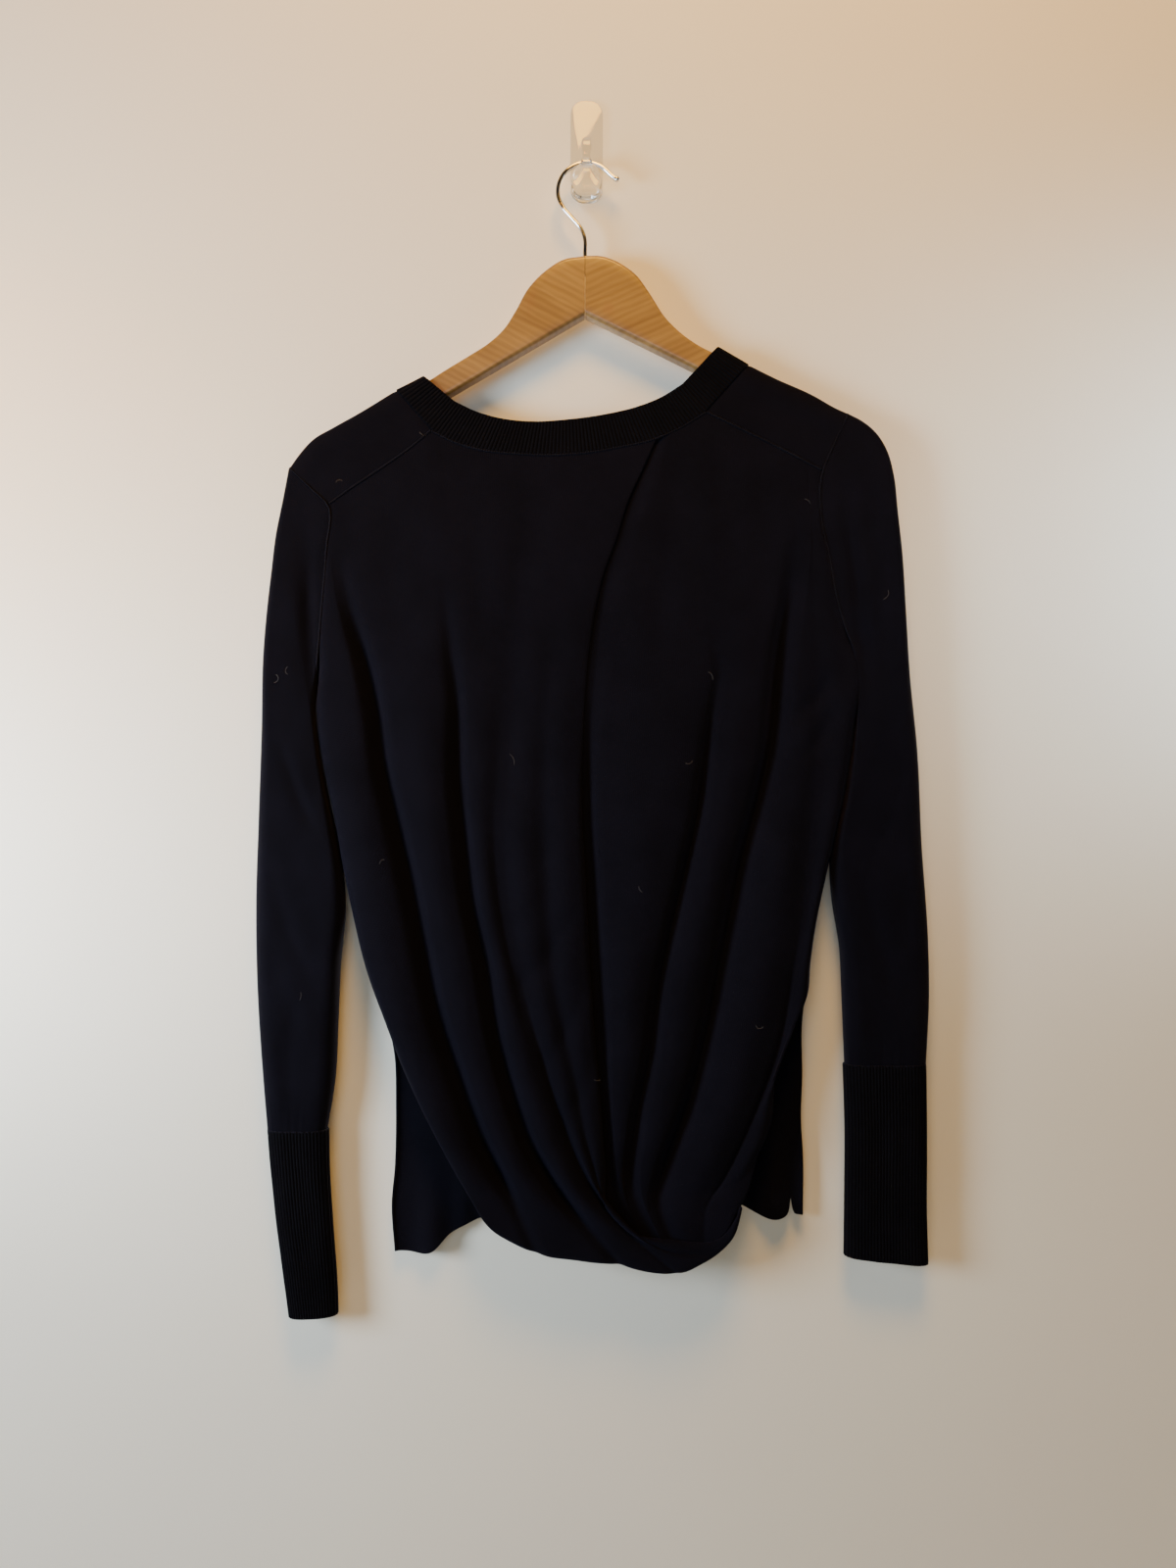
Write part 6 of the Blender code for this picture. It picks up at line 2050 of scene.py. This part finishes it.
@dataclass
class Sweater:
    """The knitted pieces, their seams and the lint on them."""

    knit: Material
    rib: Material
    sewing: Material
    dust: Material
    fibres: tuple[Fibre, ...] = (
        Fibre(-230.7, -403.0, 9.5, 70.0, 2.8), Fibre(-221.0, -398.0, 8.0, 96.0, -2.2),
        Fibre(-183.6, -258.0, 6.6, 20.0, -2.0), Fibre(-122.0, -222.0, 6.4, -35.0, 1.0),
        Fibre(-55.4, -464.7, 9.8, 110.0, 1.2), Fibre(91.6, -403.1, 7.8, -55.0, -1.5),
        Fibre(76.0, -466.0, 7.0, 15.0, 2.0), Fibre(222.0, -341.6, 9.4, 60.0, 1.8),
        Fibre(127.8, -660.2, 8.0, -20.0, 2.4), Fibre(164.0, -272.8, 6.2, 140.0, 1.2),
        Fibre(-150.0, -540.0, 5.4, 48.0, -1.8), Fibre(40.0, -560.0, 6.0, -62.0, 1.4),
        Fibre(-212.0, -640.0, 6.8, 80.0, 0.9), Fibre(8.0, -700.0, 5.2, -12.0, 1.6),
    )

    def seams(self, rings: dict[str, Array]) -> dict[str, list[Object]]:
        """Linked seams, each kept with the piece that it ends on.

        Args:
            rings: rings of the two sleeves.

        Returns:
            The seams of each piece.
        """
        lift = np.array([0.0, -0.5 * CLOTH + 0.1, 0.0])
        found: dict[str, list[Object]] = {}

        def add(owner: str, seam: Seam) -> None:
            """Builds a seam and keeps it with its owner."""
            found.setdefault(owner, []).append(seam.build())

        t = np.linspace(0.0, 1.0, 201)
        add("back_over_wrap", Seam("seam_yoke_left", with_depth(along(YOKE_LEFT[::-1], t), NEAR) + lift))
        add("back_under_wrap", Seam("seam_yoke_right", with_depth(along(YOKE_RIGHT, t), NEAR) + lift))
        near, _, front, _ = NECK.seam()
        add("collar", Seam("seam_neck_back", near + lift, radius=1.1))
        add("collar", Seam("seam_neck_front", front - lift, radius=1.1))
        for name, side in (("sleeve_left", Side.LEFT), ("sleeve_right", Side.RIGHT)):
            ring = rings[name][0]
            half = len(ring) // 2 + 1
            for label, line, way in (("near", ring[1:half], -1.0), ("far", ring[half:], 1.0)):
                shift = np.array([-0.5 * side.value, way * (0.5 * CLOTH - 0.1), 0.0])
                add(name, Seam(f"seam_armhole_{side.name.lower()}_{label}", line + shift, radius=1.05))
            last = rings[name][-1]
            shift = np.zeros(last.shape)
            shift[:, 1] = np.sign(last[:, 1] - SLEEVE_PLANE) * (0.5 * CLOTH + 0.1)
            shift[:, 2] = -0.3
            line = np.concatenate([last, last[:1]]) + np.concatenate([shift, shift[:1]])
            add(name, Seam(f"seam_cuff_{side.name.lower()}", line[:half], radius=0.7))
            add(name, Seam(f"seam_cuff_{side.name.lower()}_far", line[half:], radius=0.7))
        return found

    def build(self) -> None:
        """Every knitted piece, dressed and attached to the body."""
        over, over_wall = OVER.surface()
        under, under_wall = UNDER.surface()
        pieces = {
            "front_panel": FrontPanel().build(),
            OVER.name: add_wall(OVER.name, over, over_wall),
            UNDER.name: add_wall(UNDER.name, under, under_wall),
            "sleeve_left": SLEEVE_LEFT.build(),
            "sleeve_right": SLEEVE_RIGHT.build(),
            "cuff_left": CUFF_LEFT.build(),
            "cuff_right": CUFF_RIGHT.build(),
            "collar": Collar().build(),
        }
        rings = {"sleeve_left": SLEEVE_LEFT.rings(), "sleeve_right": SLEEVE_RIGHT.rings()}
        seams = self.seams(rings)
        for name, piece in pieces.items():
            ribbed = name.startswith("cuff") or name == "collar"
            piece.name = f"{name}_cloth"
            piece.data.materials.append(self.rib if ribbed else self.knit)
            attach(piece, BODY)
            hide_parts(name)
            for seam in seams.get(name, []):
                seam.data.materials.append(self.sewing)
                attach(seam, BODY)
        surfaces = (over, under, rings["sleeve_left"], rings["sleeve_right"], self.shoulders())
        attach(self.lint(np.concatenate([surface.reshape(-1, 3) for surface in surfaces])), BODY)

    def shoulders(self) -> Array:
        """Places of the front panel on the side that shows, between the ridges and the yoke seams."""
        share = np.linspace(0, 1, 60)
        strips = [np.stack([over_arm(low, high, 48) for low, high in zip(along(yoke, share), along(ridge, share))])
                  for yoke, ridge in ((YOKE_LEFT, RIDGE_LEFT), (YOKE_RIGHT, RIDGE_RIGHT))]
        return np.concatenate([strip[:, :24].reshape(-1, 3) for strip in strips])

    def lint(self, surfaces: Array) -> Object:
        """All fibres as one mesh of thin tubes.

        Args:
            surfaces: places of the cloth that they lie on.

        Returns:
            The new object.
        """
        points, faces, caps, count = [], [], [], 0
        for fibre in self.fibres:
            path = fibre.path(surfaces)
            rings = tube(path, np.full(len(path), fibre.radius), FIBRE_SIDES)
            points.append(rings.reshape(-1, 3))
            faces.append(grid_faces(*rings.shape[:2], closed=True)[0] + count)
            caps += ends_of(*rings.shape[:2], count)
            count += len(points[-1])
        obj = add_piece("lint", np.concatenate(points), np.concatenate(faces), caps=caps)
        obj.data.materials.append(self.dust)
        return obj


@dataclass
class Holder:
    """Hanger and wall hook."""

    woods: dict[Side, Material]
    metal: Material
    clear: Material
    bore_ends: tuple[float, float] = (-101.5, -80.0)

    def bore(self) -> Object:
        """Cutter for the hole that takes the wire."""
        turn = np.linspace(0, 2 * math.pi, 33)[:-1]
        radius = HangerWire.radius + HangerHalf.fit
        rings = np.stack([np.stack([HangerHalf.seam_x + radius * np.cos(turn), PLANE + radius * np.sin(turn),
                                    np.full(len(turn), z)], axis=1) for z in self.bore_ends])
        return add_rings("bore", rings)

    def build(self) -> None:
        """Both wooden halves, the wire and the wall hook."""
        dressed = []
        for half in (HANGER_LEFT, HANGER_RIGHT):
            obj = half.build()
            combine(obj, self.bore(), "DIFFERENCE")
            obj.data.shade_smooth()
            obj.data.set_sharp_from_angle(angle=math.radians(half.sharp))
            dressed.append((obj, half.name, self.woods[half.side], Slot.WOOD))
        dressed.append((HangerWire().build(), "hanger_wire", self.metal, Slot.WIRE))
        dressed.append((WallHook().build(), "wall_hook", self.clear, Slot.PLASTIC))
        for obj, name, material, slot in dressed:
            obj.name = f"{name}_piece"
            obj.data.materials.clear()
            obj.data.materials.append(material)
            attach(obj, BODY)
            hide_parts(name)


def main() -> None:
    """Builds everything."""
    logging.basicConfig(level=logging.INFO, format="%(name)s: %(message)s")
    jersey, ribs, grain, drawn, plaster = (jersey_group(), rib_group(), grain_group(), drawn_group(),
                                           plaster_group())
    # The linked seams wear a lighter finish as painted highlight
    Sweater(knit=wool("fine knit", KNIT_FINISH, jersey), rib=wool("fine rib", RIB_FINISH, ribs),
            sewing=wool("linked seam", SEAM_HIGHLIGHT_FINISH, ribs, on_cloth=False), dust=lint()).build()
    Holder(woods={Side.LEFT: honey_wood("honey wood left", grain, math.radians(-28.0)),
                  Side.RIGHT: honey_wood("honey wood right", grain, math.radians(24.0))},
           metal=bright_wire(drawn), clear=clear_plastic()).build()
    Stage().build(wall_paint(plaster))


if __name__ == "__main__":
    main()
